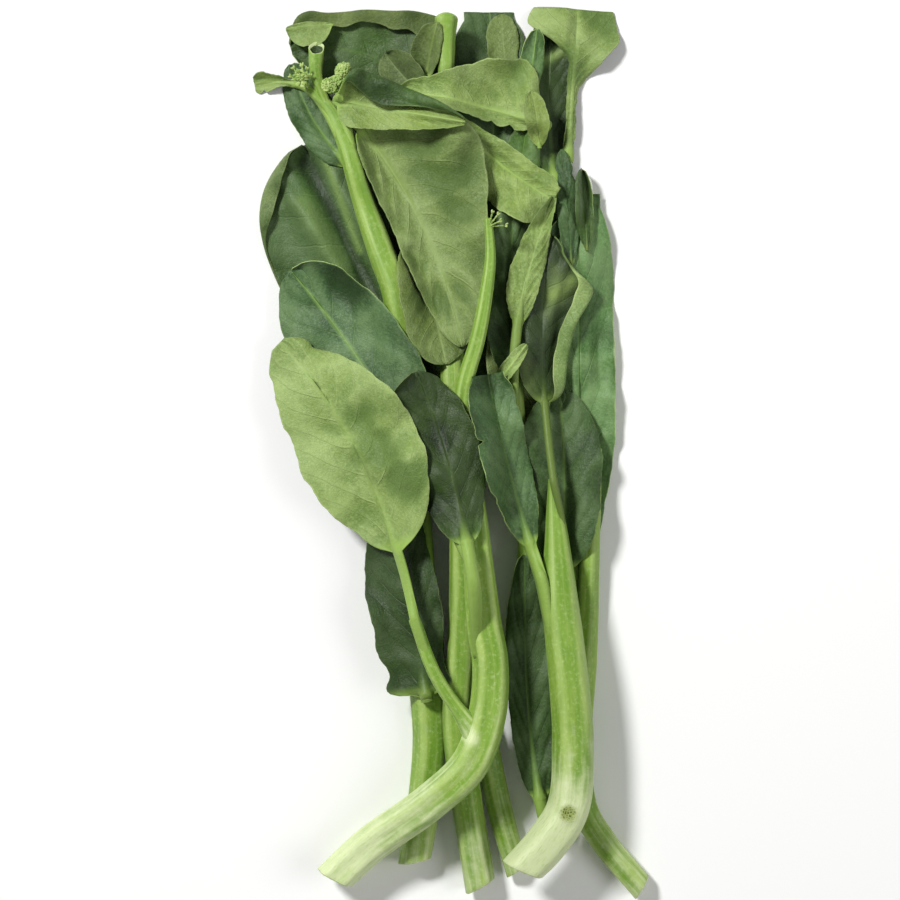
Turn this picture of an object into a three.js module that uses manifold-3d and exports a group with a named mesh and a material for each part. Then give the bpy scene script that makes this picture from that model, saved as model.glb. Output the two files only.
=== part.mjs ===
// A bunch of Chinese broccoli: seven cut stems with their leaves and bud heads, lying on a table.
// Millimetres, +Z up. The cut ends point to -Y, the leaf tips to +Y, and the table is z = 0.
// The pieces are laid down one after another, each draped over what lies there already.
import * as THREE from 'three';
import { mergeVertices } from 'three/addons/utils/BufferGeometryUtils.js';
import Module from 'manifold-3d';

const wasm = await Module();
wasm.setup();

// Size of the whole bunch, and where its middle lies in the plan in which the pieces are drawn
const PLAN_HALF_WIDTH = 92;
const PLAN_HALF_LENGTH = 192;
const CENTRE_X = 4;
const CENTRE_Y = -0.9;

// How the pieces lie on each other
const CELL = 1;
const GAP = 0.5;
const SAMPLE = 0.7;
const SINK_PASSES = 110;
const SINK_STEP = 0.4;
const REST_PASSES = 40;
const REST_STEP = 0.08;
const LIFT_PASSES = 60;
const STIFFNESS = 0.28;
const ROD_PASSES = 120;

// Leaves
const BLADE = 1;
const STALK_RADIUS = 2.3;
const STALK_BULGE = 2.6;
const RIB_HALF_WIDTH = 1.5;
const RIB_BULGE = 1.3;
const TIP_HALF_WIDTH = 1.2;
const SIDE_COLUMN = 0.58;
const RIB_MOST = 0.3;
const RIB_TAPER = 0.6;
const RIB_SHOULDER = 0.55;
const STALK_SHOULDER = 0.5;
const STALK_FADE = 4;
const SMALL_SCALE = 0.6;
const LARGE_ROWS = 11;
const SMALL_ROWS = 6;
const LARGE_WAVE = 3.2;
const SMALL_WAVE = 0.8;
const WAVES = 2.2;
const CUP = 1.5;
const FOLD_WALL = 1;
const FOLD_OPENING = 2.4;
const FLAP_RISE = 0.12;
const FLAP_CLEAR = 0.4;
const FLAP_LEAST = 1.6;
const FOLD_NARROW = 6;

// Stems
const SIDES = 10;
const STEM_STEP = 15;
const CUT_SLANT = 0.35;
const BRANCH_SIDES = 6;
const FLAT_DEPTH = 0.1;
const TOUCH = 0.5;

// Bud heads
const BUD_RADIUS = 1.7;
const HEAD_SEED = 7;

const COLOURS = {
  dark: 0x57704f,
  pale: 0x98ac79,
  stem: 0x97b05c,
  bud: 0x9fb866,
};

// Stems, in the order of their laying: plan points from the cut end up, each with its radius
const STEMS = {
  stem_diagonal: {
    points: [[-10, -165, 6.4], [-6, -140, 6.6], [-4, -116, 6.8], [-5, -96, 7], [-9, -40, 6.6],
      [-12, 20, 6.2], [-17, 62, 5.8], [-23, 78, 5.3], [-31, 101, 4.4], [-38, 124, 3.6],
      [-45, 138, 2.6], [-53, 145, 1.6]],
    branches: [
      { from: [-45, 137, 0], to: [-49.5, 150, 1.5], end: [-49.5, 161, 3], radius: 2.6, tip: 3.2 },
      { from: [-4, -96, 0], to: [-13, -96, 1], end: [-15.5, -94, 2], radius: 2.4, tip: 2 },
    ],
  },
  stem_slim: {
    points: [[31, -169, 4.6], [24, -144, 5], [19, -120, 5], [14, -96, 5], [10, -50, 4.6],
      [4, 0, 3.8], [2, 30, 3]],
  },
  stem_wrapped: {
    points: [[47, -152, 5.2], [43.5, -142, 5.4], [40, -130, 5.6], [36, -108, 5.6], [35, -68, 5.4],
      [37, -20, 4.4], [36, 4, 3.4]],
  },
  stem_right: {
    points: [[81, -176, 5], [66, -158, 5.2], [58, -144, 5.2], [56, -116, 5], [58.5, -84, 4.6],
      [60, -44, 4], [62, 0, 3]],
  },
  stem_knob: {
    points: [[16, -175, 6.2], [10.5, -140, 6.1], [7, -108, 6], [9, -76, 5.8], [9, -30, 5.4],
      [5, 30, 4.8], [3, 90, 4], [2.5, 140, 3.3], [2.5, 158, 3.3], [2.5, 166, 3.8], [2.5, 172, 4.6]],
  },
  stem_front: {
    points: [[-42, -171, 7.1], [-28, -158, 7.2], [-4, -140, 7.2], [12, -124, 7.3], [19, -104, 7.2],
      [20, -84, 6.9], [17.5, -68, 6.6], [14, -30, 5], [9, 20, 3.4], [15, 44, 2.9], [18, 60, 2.6],
      [20, 76, 2.1], [19.2, 91, 1.5]],
    branches: [
      { from: [14, -112, 0], to: [0, -88, 3], end: [-10, -67, 3.5], radius: 2.6, tip: 2.3 },
    ],
  },
  stem_thick: {
    points: [[33, -166, 8], [43, -155, 8.4], [51, -142, 8.4], [53, -116, 8.2], [51, -88, 7.8],
      [48, -60, 7.1], [46.5, -34, 5], [45, -12, 2.6]],
  },
};

// Leaves: base, middle and tip of the midrib in plan, half widths to its left and right,
// the widest place along the blade, and the side that looks up. The stalk is a share of the length.
// A shape widens or narrows one side at even places from the blade's base to its tip.
const LEAVES = {
  leaf_under_left: { line: [[-4, -60], [-26, 20], [-46, 100]], left: 24, right: 22, up: 'pale' },
  leaf_under_middle: { line: [[12, -44], [6, 48], [-4, 150]], left: 25, right: 24, up: 'dark' },
  leaf_under_right: { line: [[42, -60], [41, 28], [38, 118]], left: 22, right: 19, up: 'pale' },
  leaf_under_top: {
    line: [[28, 70], [22, 125], [20, 177]], left: 16, right: 15, up: 'dark', tip: 'blunt',
  },
  leaf_edge_right: {
    line: [[54, -58], [56, 20], [55, 103]], left: 12, right: 14.5, up: 'dark', tip: 'blunt', stalk: 0.06,
  },
  leaf_corner_blue: {
    line: [[-33, 112], [-50, 131], [-60, 156]], left: 8, right: 11, up: 'dark', stalk: 0.12,
  },
  leaf_corner_dark: {
    line: [[6, 130], [-26, 158], [-60, 161]], left: 17, right: 18, up: 'dark', stalk: 0.12,
    fold: { side: 'right', flap: 0.36 },
    shape: { right: [1, 1.7, 1.75, 1.45, 1.12, 0.96, 0.87, 0.91, 1.2, 3] },
  },
  leaf_left_dark: {
    line: [[-6, 12], [-35, 80], [-55, 123]], left: 33, right: 22, up: 'dark', widest: 0.42,
    fold: { side: 'left', flap: 0.22 },
  },
  leaf_top_right_dark: {
    line: [[48, 96], [44, 138], [46, 174]], left: 9, right: 10, up: 'dark', tip: 'blunt',
  },
  leaf_top_right_pale: {
    line: [[51.5, 116], [53.5, 146], [55.5, 178]], left: 4, right: 16, up: 'pale', widest: 0.82,
    base: 'slim', tip: 'blunt', stalk: 0.06,
    shape: {
      left: [1, 1, 0.8, 0.8, 0.8, 0.8, 0.8, 2.5, 5, 6],
      right: [1, 0.7, 0.45, 0.3, 0.34, 0.65, 0.94, 1.13, 1.03, 1.4],
    },
  },
  leaf_right_inner: { line: [[32, 12], [29, 56], [29, 99]], left: 11, right: 12, up: 'dark' },
  leaf_right_blue: {
    line: [[44, 74], [48.5, 86], [54.5, 99]], left: 5, right: 4, up: 'dark', small: true,
  },
  leaf_right_notched: {
    line: [[53, 72], [51, 98], [49, 121]], left: 4.5, right: 4.5, up: 'dark', small: true,
  },
  leaf_right_curled: {
    line: [[59, 80], [58, 98], [57, 113]], left: 4, right: 3.6, up: 'dark', small: true,
  },
  leaf_right_short: {
    line: [[34, 96], [33, 115], [36, 133]], left: 7, right: 7, up: 'dark', small: true,
  },
  leaf_right_pale: {
    line: [[0, 136], [24, 115], [45.5, 100]], left: 8, right: 15, up: 'pale', widest: 0.62, tip: 'blunt',
    stalk: 0.1,
  },
  leaf_top_round: {
    line: [[27, 144], [25.5, 160], [25, 176]], left: 6.5, right: 6.5, up: 'pale', small: true,
    widest: 0.6,
  },
  leaf_top_grey: {
    line: [[35, 138], [37, 154], [39, 169]], left: 5, right: 4.5, up: 'dark', small: true,
  },
  leaf_top_inner: {
    line: [[-6, 146], [-4, 158], [-1, 170]], left: 8, right: 4, up: 'pale', small: true,
  },
  leaf_top_middle: {
    line: [[-4, 140], [-14, 150], [-22, 160]], left: 8, right: 7, up: 'pale', small: true,
  },
  leaf_tip_flap: {
    line: [[-43, 171], [-53, 170.5], [-62, 169.5]], left: 8.5, right: 1.8, up: 'pale', small: true,
  },
  leaf_bud_bright: {
    line: [[-56, 147], [-65, 148.5], [-75, 147.5]], left: 4, right: 4.5, up: 'pale', small: true,
    widest: 0.75, base: 'slim', tip: 'blunt',
  },
  leaf_front_back: {
    line: [[-14, 100], [-5, 64], [2.5, 34]], left: 13, right: 12, up: 'pale', widest: 0.6,
  },
  leaf_front_pale: {
    line: [[-38, 136], [-9, 94], [9, 41]], left: 25, right: 12, up: 'pale', stalk: 0.1, widest: 0.5,
    shape: { left: [1, 1.5, 1.65, 1.5, 1.25, 1.05, 0.95, 0.9, 0.85, 0.8] },
  },
  leaf_top_pale: {
    line: [[44, 130], [16, 137.5], [-17.5, 143]], left: 6, right: 20, up: 'pale', widest: 0.25,
    tip: 'pointed', stalk: 0.1,
    shape: { right: [1.1, 1.15, 1.15, 1.1, 1.05, 1, 0.95, 0.95, 0.95, 0.95] },
  },
  leaf_right_pale_tip: {
    line: [[40, 121], [38.5, 132], [36.5, 143]], left: 4.5, right: 5, up: 'pale', small: true,
  },
  leaf_top_folded: {
    line: [[-42, 140], [-18, 135], [10, 129.5]], left: 13, right: 10, up: 'pale', widest: 0.15,
    tip: 'pointed', stalk: 0.03, fold: { side: 'left', flap: 0.55 },
  },
  leaf_low_right: { line: [[49, -66], [50, -14], [48, 24]], left: 18, right: 15, up: 'dark' },
  leaf_right_middle: {
    line: [[45, -12], [41, 44], [45, 86]], left: 13, right: 19, up: 'dark', stalk: 0.26, widest: 0.4,
    fold: { side: 'right', flap: 0.28 },
    shape: { right: [1, 0.7, 0.6, 0.64, 0.75, 0.97, 1.1, 0.75, 0.5, 1] },
  },
  leaf_right_narrow: {
    line: [[30, 12], [32, 56], [45.5, 101]], left: 7.5, right: 6, up: 'pale', stalk: 0.45,
    tip: 'pointed', widest: 0.4,
  },
  leaf_centre_curl: {
    line: [[22, 25], [27, 32], [34.5, 42]], left: 3.2, right: 3, up: 'pale', small: true,
  },
  leaf_low_wrap: {
    line: [[43, -152], [35.5, -106], [34, -42]], left: 8, right: 12, up: 'dark', widest: 0.55,
  },
  leaf_low_left: {
    line: [[-5, -100], [-12, -60], [-18, -18]], left: 17, right: 12, up: 'dark', stalk: 0.04,
    shape: {
      left: [2.6, 1.15, 1.1, 1, 1, 1, 1, 1, 1, 1],
      right: [2.4, 1.2, 1, 1, 1, 1, 1, 1, 1, 1],
    },
  },
  leaf_left_bloom: {
    line: [[14, -48], [-22, 20], [-60, 72]], left: 22, right: 21, up: 'dark', widest: 0.6,
  },
  leaf_centre_dark: {
    line: [[13, -50], [4, -8], [-9, 31]], left: 16, right: 14, up: 'dark', widest: 0.6,
    shape: {
      left: [1, 1, 1, 1, 1, 1, 1.02, 1.08, 1.15, 2],
      right: [1, 1, 1, 1, 1, 1, 0.98, 0.9, 0.75, 0.6],
    },
  },
  leaf_centre_torn: {
    line: [[40, -50], [28, -10], [19, 30]], left: 10, right: 9.5, up: 'dark', widest: 0.6, tip: 'blunt',
  },
  leaf_left_pale: {
    line: [[-10, -66], [-31, -4], [-64, 43]], left: 24, right: 27, up: 'pale', stalk: 0.2, widest: 0.5,
    shape: {
      left: [1, 1, 1, 1, 1, 0.94, 0.88, 0.85, 0.83, 5],
      right: [1, 1, 1, 1, 0.97, 0.86, 0.78, 0.67, 0.55, 2.5],
    },
  },
};

// Bud heads: where each sits in plan, how far it spreads and how many buds it has
const HEADS = {
  buds_diagonal_tall: { at: [-38, 150], spread: 3.6, buds: 9 },
  buds_diagonal_low: { at: [-44.5, 145.5], spread: 2.6, buds: 7 },
  buds_diagonal_tip: { at: [-55.5, 148.5], spread: 3, buds: 8 },
  buds_front: { at: [24, 89], spread: 2, buds: 6 },
};

// The order of laying, from the table up
const LAYING = [
  'leaf_under_left', 'leaf_under_middle', 'leaf_under_right', 'leaf_under_top', 'leaf_edge_right',
  'leaf_corner_dark', 'leaf_left_dark', 'leaf_corner_blue', 'leaf_top_right_dark',
  'leaf_top_right_pale', 'leaf_right_inner',
  'leaf_right_blue', 'leaf_right_notched', 'leaf_right_curled', 'leaf_right_short', 'stem_diagonal',
  'stem_slim', 'stem_wrapped', 'stem_right', 'stem_knob', 'leaf_right_pale', 'leaf_top_round',
  'leaf_top_grey', 'leaf_top_inner', 'leaf_top_middle', 'leaf_tip_flap', 'leaf_bud_bright',
  'buds_diagonal_low', 'buds_diagonal_tip', 'buds_diagonal_tall', 'leaf_front_back', 'leaf_front_pale',
  'leaf_top_pale', 'leaf_right_pale_tip', 'leaf_top_folded', 'leaf_low_right', 'leaf_low_wrap',
  'stem_thick', 'leaf_right_middle', 'leaf_right_narrow', 'leaf_low_left', 'stem_front', 'buds_front',
  'leaf_centre_curl', 'leaf_left_bloom', 'leaf_centre_dark', 'leaf_centre_torn', 'leaf_left_pale',
];

// A height map of what already lies on the table
const mapColumns = Math.ceil((2 * PLAN_HALF_WIDTH) / CELL);
const mapRows = Math.ceil((2 * PLAN_HALF_LENGTH) / CELL);
const heap = new Float32Array(mapColumns * mapRows);

function cellOf(x, y) {
  const column = Math.floor((x + PLAN_HALF_WIDTH) / CELL);
  const row = Math.floor((y + PLAN_HALF_LENGTH) / CELL);
  if (column < 0 || row < 0 || column >= mapColumns || row >= mapRows) {
    throw new Error(`plan point outside the map: ${x}, ${y}`);
  }
  return row * mapColumns + column;
}

// The lowest height that an underside may have over a plan point
function floorAt(x, y) {
  const height = heap[cellOf(x, y)];
  return height > 0 ? height + GAP : 0;
}

function forSamples(a, b, c, visit) {
  const longest = Math.max(
    Math.hypot(a.x - b.x, a.y - b.y),
    Math.hypot(b.x - c.x, b.y - c.y),
    Math.hypot(c.x - a.x, c.y - a.y),
  );
  const steps = Math.max(1, Math.ceil(longest / SAMPLE));
  for (let i = 0; i <= steps; i += 1) {
    for (let j = 0; j <= steps - i; j += 1) {
      visit(1 - (i + j) / steps, i / steps, j / steps);
    }
  }
}

// Adds a finished piece to the height map, spread over the cells round each sample
function pileUp(vertices, triangles) {
  for (const [ia, ib, ic] of triangles) {
    const [a, b, c] = [vertices[ia], vertices[ib], vertices[ic]];
    forSamples(a, b, c, (wa, wb, wc) => {
      const x = wa * a.x + wb * b.x + wc * c.x;
      const y = wa * a.y + wb * b.y + wc * c.y;
      const z = wa * a.z + wb * b.z + wc * c.z;
      for (const dx of [-CELL / 2, CELL / 2]) {
        for (const dy of [-CELL / 2, CELL / 2]) {
          const cell = cellOf(x + dx, y + dy);
          heap[cell] = Math.max(heap[cell], z);
        }
      }
    });
  }
}

// A closed grid solid from two faces of the same rows and columns
function sheetSolid(upper, lower) {
  const rows = upper.length;
  const columns = upper[0].length;
  const vertices = [...upper.flat(), ...lower.flat()];
  const under = rows * columns;
  const at = (i, j) => i * columns + j;
  const triangles = [];
  for (let i = 0; i < rows - 1; i += 1) {
    for (let j = 0; j < columns - 1; j += 1) {
      const [a, b, c, d] = [at(i, j), at(i, j + 1), at(i + 1, j + 1), at(i + 1, j)];
      triangles.push([a, b, c], [a, c, d]);
      triangles.push([under + a, under + c, under + b], [under + a, under + d, under + c]);
    }
  }
  const rim = [];
  for (let j = 0; j < columns; j += 1) rim.push(at(0, j));
  for (let i = 1; i < rows; i += 1) rim.push(at(i, columns - 1));
  for (let j = columns - 2; j >= 0; j -= 1) rim.push(at(rows - 1, j));
  for (let i = rows - 2; i > 0; i -= 1) rim.push(at(i, 0));
  rim.forEach((here, k) => {
    const next = rim[(k + 1) % rim.length];
    triangles.push([here, under + here, under + next], [here, under + next, next]);
  });
  return { vertices, triangles };
}

function signedVolume({ vertices, triangles }) {
  const cross = new THREE.Vector3();
  return triangles.reduce(
    (sum, [a, b, c]) => sum + vertices[a].dot(cross.crossVectors(vertices[b], vertices[c])),
    0,
  );
}

function facingOut(solid) {
  if (signedVolume(solid) > 0) return solid;
  return { vertices: solid.vertices, triangles: solid.triangles.map(([a, b, c]) => [a, c, b]) };
}

// Leaves

// The point of a curve through three plan points, and its direction
function midribAt(line, t) {
  const [base, middle, tip] = line;
  const bend = [2 * middle[0] - (base[0] + tip[0]) / 2, 2 * middle[1] - (base[1] + tip[1]) / 2];
  const s = 1 - t;
  const point = [0, 1].map((k) => s * s * base[k] + 2 * s * t * bend[k] + t * t * tip[k]);
  const slope = [0, 1].map((k) => 2 * s * (bend[k] - base[k]) + 2 * t * (tip[k] - bend[k]));
  const length = Math.hypot(slope[0], slope[1]);
  return { point, direction: [slope[0] / length, slope[1] / length] };
}

const TIP_FORMS = {
  round: { power: 2.2, root: 0.55, cut: 1 },
  pointed: { power: 1.3, root: 0.8, cut: 1 },
  blunt: { power: 5, root: 0.4, cut: 0.93 },
};

// Share of the full half width at a place along the blade, 0 at its base and 1 at its tip
function bladeShare(place, widest, base, tip) {
  const rise = place / widest;
  if (rise < 1) return base === 'slim' ? rise ** 1.5 : (1 - (1 - rise) ** 2) ** 0.6;
  const { power, root, cut } = TIP_FORMS[tip];
  return (1 - Math.min(cut, (place - widest) / (1 - widest)) ** power) ** root;
}

// Plan and natural form of a leaf: for each row its columns, from the left edge to the right
function leafRows(name, leaf) {
  const { line, left, right, small } = leaf;
  const stalk = leaf.stalk ?? 0.16;
  const widest = leaf.widest ?? 0.45;
  const base = leaf.base ?? 'round';
  const tip = leaf.tip ?? 'round';
  const count = small ? SMALL_ROWS : LARGE_ROWS;
  const stalkRows = small ? 1 : 2;
  const phase = LAYING.indexOf(name);
  const scale = small ? SMALL_SCALE : 1;
  const waveHeight = small ? SMALL_WAVE : LARGE_WAVE;
  const rows = [];
  for (let i = 0; i <= count; i += 1) {
    const place = Math.max(0, (i - stalkRows) / (count - stalkRows));
    const t = i <= stalkRows ? (stalk * i) / stalkRows : stalk + (1 - stalk) * place;
    const { point, direction } = midribAt(line, t);
    const share = bladeShare(place, widest, base, tip);
    const onBlade = STALK_RADIUS * (1 - place) + TIP_HALF_WIDTH * place;
    const narrow = (i <= stalkRows ? STALK_RADIUS : onBlade) * scale;
    const ribHalf = RIB_HALF_WIDTH * scale * (1 - RIB_TAPER * place);
    const ribShare = (width) => Math.min(RIB_MOST, ribHalf / width);
    const widthOf = (full, shape) => {
      const width = narrow + Math.max(0, full - narrow) * share;
      return shape && i >= stalkRows ? width * shape[i - stalkRows] : width;
    };
    const columns = [];
    const addColumn = (v, width, isRib) => {
      const out = v * width;
      const bladeness = Math.max(0, (width - narrow) / Math.max(left, right));
      const turn = 2 * Math.PI * WAVES * place + phase + (v > 0 ? 2 : 0);
      const natural = bladeness * v * v * (CUP * scale + waveHeight * Math.sin(turn));
      const stalkness = Math.max(0, 1 - place * STALK_FADE);
      const ribBulge = RIB_BULGE * (1 - place) + STALK_BULGE * stalkness;
      const bulge = isRib
        ? ribBulge * scale * (v === 0 ? 1 : RIB_SHOULDER)
        : STALK_SHOULDER * stalkness * scale;
      columns.push({
        v,
        x: point[0] + direction[1] * out,
        y: point[1] - direction[0] * out,
        natural,
        bulge,
      });
    };
    const leftWidth = widthOf(left, leaf.shape?.left);
    const rightWidth = widthOf(right, leaf.shape?.right);
    addColumn(-1, leftWidth, false);
    addColumn(-SIDE_COLUMN, leftWidth, false);
    addColumn(-ribShare(leftWidth), leftWidth, true);
    addColumn(0, leftWidth, true);
    addColumn(ribShare(rightWidth), rightWidth, true);
    addColumn(SIDE_COLUMN, rightWidth, false);
    addColumn(1, rightWidth, false);
    rows.push(columns);
  }
  return rows;
}

// Lets a sheet sink on the heap: each vertex ends with a height z for the middle of the blade
function drape(rows, up) {
  const columns = rows[0].length;
  const flat = rows.flat();
  flat.forEach((p) => {
    p.below = BLADE / 2 + (up === 'dark' ? p.bulge : 0);
    p.above = BLADE / 2 + (up === 'pale' ? p.bulge : 0);
  });
  const samples = [];
  for (let i = 0; i < rows.length - 1; i += 1) {
    for (let j = 0; j < columns - 1; j += 1) {
      const [a, b, c, d] = [rows[i][j], rows[i][j + 1], rows[i + 1][j + 1], rows[i + 1][j]];
      for (const [p, q, r] of [[a, b, c], [a, c, d]]) {
        forSamples(p, q, r, (wp, wq, wr) => {
          const need = floorAt(wp * p.x + wq * q.x + wr * r.x, wp * p.y + wq * q.y + wr * r.y);
          samples.push({ p, q, r, wp, wq, wr, need, norm: wp * wp + wq * wq + wr * wr });
        });
      }
    }
  }
  const highest = samples.reduce((most, s) => Math.max(most, s.need), 0);
  flat.forEach((p) => { p.z = highest + p.natural + p.below; });
  const lift = () => {
    let worst = 0;
    for (const { p, q, r, wp, wq, wr, need, norm } of samples) {
      const short = need - wp * (p.z - p.below) - wq * (q.z - q.below) - wr * (r.z - r.below);
      if (short > 0) {
        p.z += (short * wp) / norm;
        q.z += (short * wq) / norm;
        r.z += (short * wr) / norm;
        worst = Math.max(worst, short);
      }
    }
    return worst;
  };
  const smooth = () => {
    const height = rows.map((row) => row.map((p) => p.z - p.natural));
    rows.forEach((row, i) => row.forEach((p, j) => {
      const near = [];
      if (i > 0) near.push(height[i - 1][j]);
      if (i < rows.length - 1) near.push(height[i + 1][j]);
      if (j > 0) near.push(height[i][j - 1]);
      if (j < columns - 1) near.push(height[i][j + 1]);
      const mean = near.reduce((sum, h) => sum + h, 0) / near.length;
      p.z += STIFFNESS * (mean - height[i][j]);
    }));
  };
  for (let pass = 0; pass < SINK_PASSES + REST_PASSES; pass += 1) {
    smooth();
    const step = pass < SINK_PASSES ? SINK_STEP : REST_STEP;
    flat.forEach((p) => { p.z -= step; });
    lift();
  }
  for (let pass = 0; pass < LIFT_PASSES && lift() > 0.005; pass += 1);
}

// Adds a folded edge: the sheet's last column turns up and back over the blade
function foldedFaces(rows, fold) {
  const upper = rows.map((row) => row.map((p) => new THREE.Vector3(p.x, p.y, p.z + p.above)));
  const lower = rows.map((row) => row.map((p) => new THREE.Vector3(p.x, p.y, p.z - p.below)));
  if (!fold) return { upper, lower };
  const onLeft = fold.side === 'left';
  rows.forEach((row, i) => {
    const line = onLeft ? [...row].reverse() : row;
    const edge = line[line.length - 1];
    const rib = line[(line.length - 1) / 2];
    const width = Math.hypot(edge.x - rib.x, edge.y - rib.y);
    const wall = Math.min(FOLD_WALL, width * 0.25);
    const placed = (share, z) => new THREE.Vector3(
      rib.x + (edge.x - rib.x) * share,
      rib.y + (edge.y - rib.y) * share,
      z,
    );
    const heightAt = (share) => {
      const inner = line[line.length - 2];
      const rate = (share - SIDE_COLUMN) / (1 - SIDE_COLUMN);
      return inner.z + (edge.z - inner.z) * Math.max(0, rate);
    };
    const flap = fold.flap * Math.min(1, width / FOLD_NARROW);
    const flapShare = 1 - Math.max(flap, (wall * FLAP_LEAST) / width);
    const open = FOLD_OPENING + BLADE;
    const flapRise = width * (1 - flapShare) * FLAP_RISE + FLAP_CLEAR;
    const flapHeight = heightAt(flapShare) + open + flapRise;
    const lineUpper = onLeft ? upper[i].reverse() : upper[i];
    const lineLower = onLeft ? lower[i].reverse() : lower[i];
    const innerShare = 1 - wall / width;
    lineUpper[lineUpper.length - 1] = placed(innerShare, heightAt(innerShare) + BLADE / 2);
    lineUpper.push(placed(innerShare, edge.z + open - BLADE / 2));
    lineUpper.push(placed(flapShare, flapHeight - BLADE / 2));
    lineLower.push(placed(1, edge.z + open + BLADE / 2));
    lineLower.push(placed(flapShare, flapHeight + BLADE / 2));
  });
  return { upper, lower };
}

function makeLeaf(name, leaf) {
  const rows = leafRows(name, leaf);
  drape(rows, leaf.up);
  const { upper, lower } = foldedFaces(rows, leaf.fold);
  return facingOut(sheetSolid(upper, lower));
}

// Stems

// A smooth curve through plan points with radii, read at even steps along it
function stemLine(points, step) {
  const curve = new THREE.CatmullRomCurve3(points.map(([x, y, r]) => new THREE.Vector3(x, y, r)));
  const count = Math.max(4, Math.round(curve.getLength() / step));
  return curve.getSpacedPoints(count).map((p) => ({ x: p.x, y: p.y, radius: p.z }));
}

// The lowest height that a ball of this radius can have over a plan point
function ballRest(x, y, radius) {
  let rest = radius;
  for (let dx = -radius; dx <= radius; dx += CELL) {
    for (let dy = -radius; dy <= radius; dy += CELL) {
      const inside = radius * radius - dx * dx - dy * dy;
      if (inside > 0) rest = Math.max(rest, floorAt(x + dx, y + dy) + Math.sqrt(inside));
    }
  }
  return rest;
}

function layRod(points) {
  const rests = points.map((p) => ballRest(p.x, p.y, p.radius));
  let heights = [...rests];
  for (let pass = 0; pass < ROD_PASSES; pass += 1) {
    heights = heights.map((h, i) => {
      const before = heights[Math.max(0, i - 1)];
      const after = heights[Math.min(heights.length - 1, i + 1)];
      return Math.max(rests[i], (before + 2 * h + after) / 4);
    });
  }
  points.forEach((p, i) => { p.z = heights[i]; });
}

// A closed tube along points with x, y, z and radius, with a flat side below
function tubeSolid(points, sides, slant) {
  const rings = points.map((p, i) => {
    const before = points[Math.max(0, i - 1)];
    const after = points[Math.min(points.length - 1, i + 1)];
    const along = new THREE.Vector3(after.x - before.x, after.y - before.y, after.z - before.z).normalize();
    const side = new THREE.Vector3(along.y, -along.x, 0).normalize();
    const rise = new THREE.Vector3().crossVectors(side, along);
    return Array.from({ length: sides }, (_, k) => {
      const angle = (2 * Math.PI * (k + 0.5)) / sides - Math.PI / 2;
      const across = Math.cos(angle) * p.radius;
      const push = i === 0 ? across * slant : 0;
      const vertex = new THREE.Vector3(p.x, p.y, p.z)
        .addScaledVector(side, across)
        .addScaledVector(rise, Math.sin(angle) * p.radius)
        .addScaledVector(along, push);
      vertex.z = Math.max(0, vertex.z);
      return vertex;
    });
  });
  const vertices = rings.flat();
  const middle = (ring) => ring.reduce((sum, v) => sum.add(v), new THREE.Vector3()).divideScalar(sides);
  vertices.push(middle(rings[0]), middle(rings[rings.length - 1]));
  const [start, end] = [vertices.length - 2, vertices.length - 1];
  const last = (rings.length - 1) * sides;
  const triangles = [];
  for (let k = 0; k < sides; k += 1) {
    const next = (k + 1) % sides;
    for (let i = 0; i < rings.length - 1; i += 1) {
      const [a, b] = [i * sides + k, i * sides + next];
      triangles.push([a, b, b + sides], [a, b + sides, a + sides]);
    }
    triangles.push([start, next, k], [end, last + k, last + next]);
  }
  return facingOut({ vertices, triangles });
}

function toManifold({ vertices, triangles }) {
  const mesh = new wasm.Mesh({
    numProp: 3,
    vertProperties: Float32Array.from(vertices.flatMap((v) => [v.x, v.y, v.z])),
    triVerts: Uint32Array.from(triangles.flat()),
  });
  mesh.merge();
  return new wasm.Manifold(mesh);
}

function fromManifold(manifold) {
  const mesh = manifold.getMesh();
  const vertices = [];
  for (let i = 0; i < mesh.numVert; i += 1) {
    const [x, y, z] = mesh.vertProperties.slice(i * mesh.numProp, i * mesh.numProp + 3);
    vertices.push(new THREE.Vector3(x, y, z));
  }
  const triangles = [];
  for (let i = 0; i < mesh.numTri; i += 1) {
    triangles.push([...mesh.triVerts.slice(i * 3, i * 3 + 3)]);
  }
  return { vertices, triangles };
}

function joined(solids) {
  if (solids.length === 1) return solids[0];
  const whole = solids.map(toManifold).reduce((sum, next) => sum.add(next));
  return facingOut(fromManifold(whole));
}

function nearestHeight(points, [x, y]) {
  const distance = (p) => Math.hypot(p.x - x, p.y - y);
  return points.reduce((best, p) => (distance(p) < distance(best) ? p : best)).z;
}

// Raises the ends of each stretch of a tube whose straight sides would touch what lies below
function clearRod(line) {
  let worst = 1;
  for (let pass = 0; pass < LIFT_PASSES && worst > 0; pass += 1) {
    worst = 0;
    const { vertices, triangles } = tubeSolid(line, SIDES, CUT_SLANT);
    const lifts = line.map(() => 0);
    for (const corners of triangles) {
      const [a, b, c] = corners.map((k) => vertices[k]);
      const rows = corners.map((k) => Math.min(line.length - 1, Math.floor(k / SIDES)));
      forSamples(a, b, c, (wa, wb, wc) => {
        const need = floorAt(wa * a.x + wb * b.x + wc * c.x, wa * a.y + wb * b.y + wc * c.y);
        const short = need - (wa * a.z + wb * b.z + wc * c.z);
        const inner = c.z > line[rows[2]].z;
        if (short <= 0 || inner) return;
        rows.forEach((row) => { lifts[row] = Math.max(lifts[row], short); });
        worst = Math.max(worst, short);
      });
    }
    line.forEach((p, i) => { p.z += lifts[i]; });
  }
}

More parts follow.
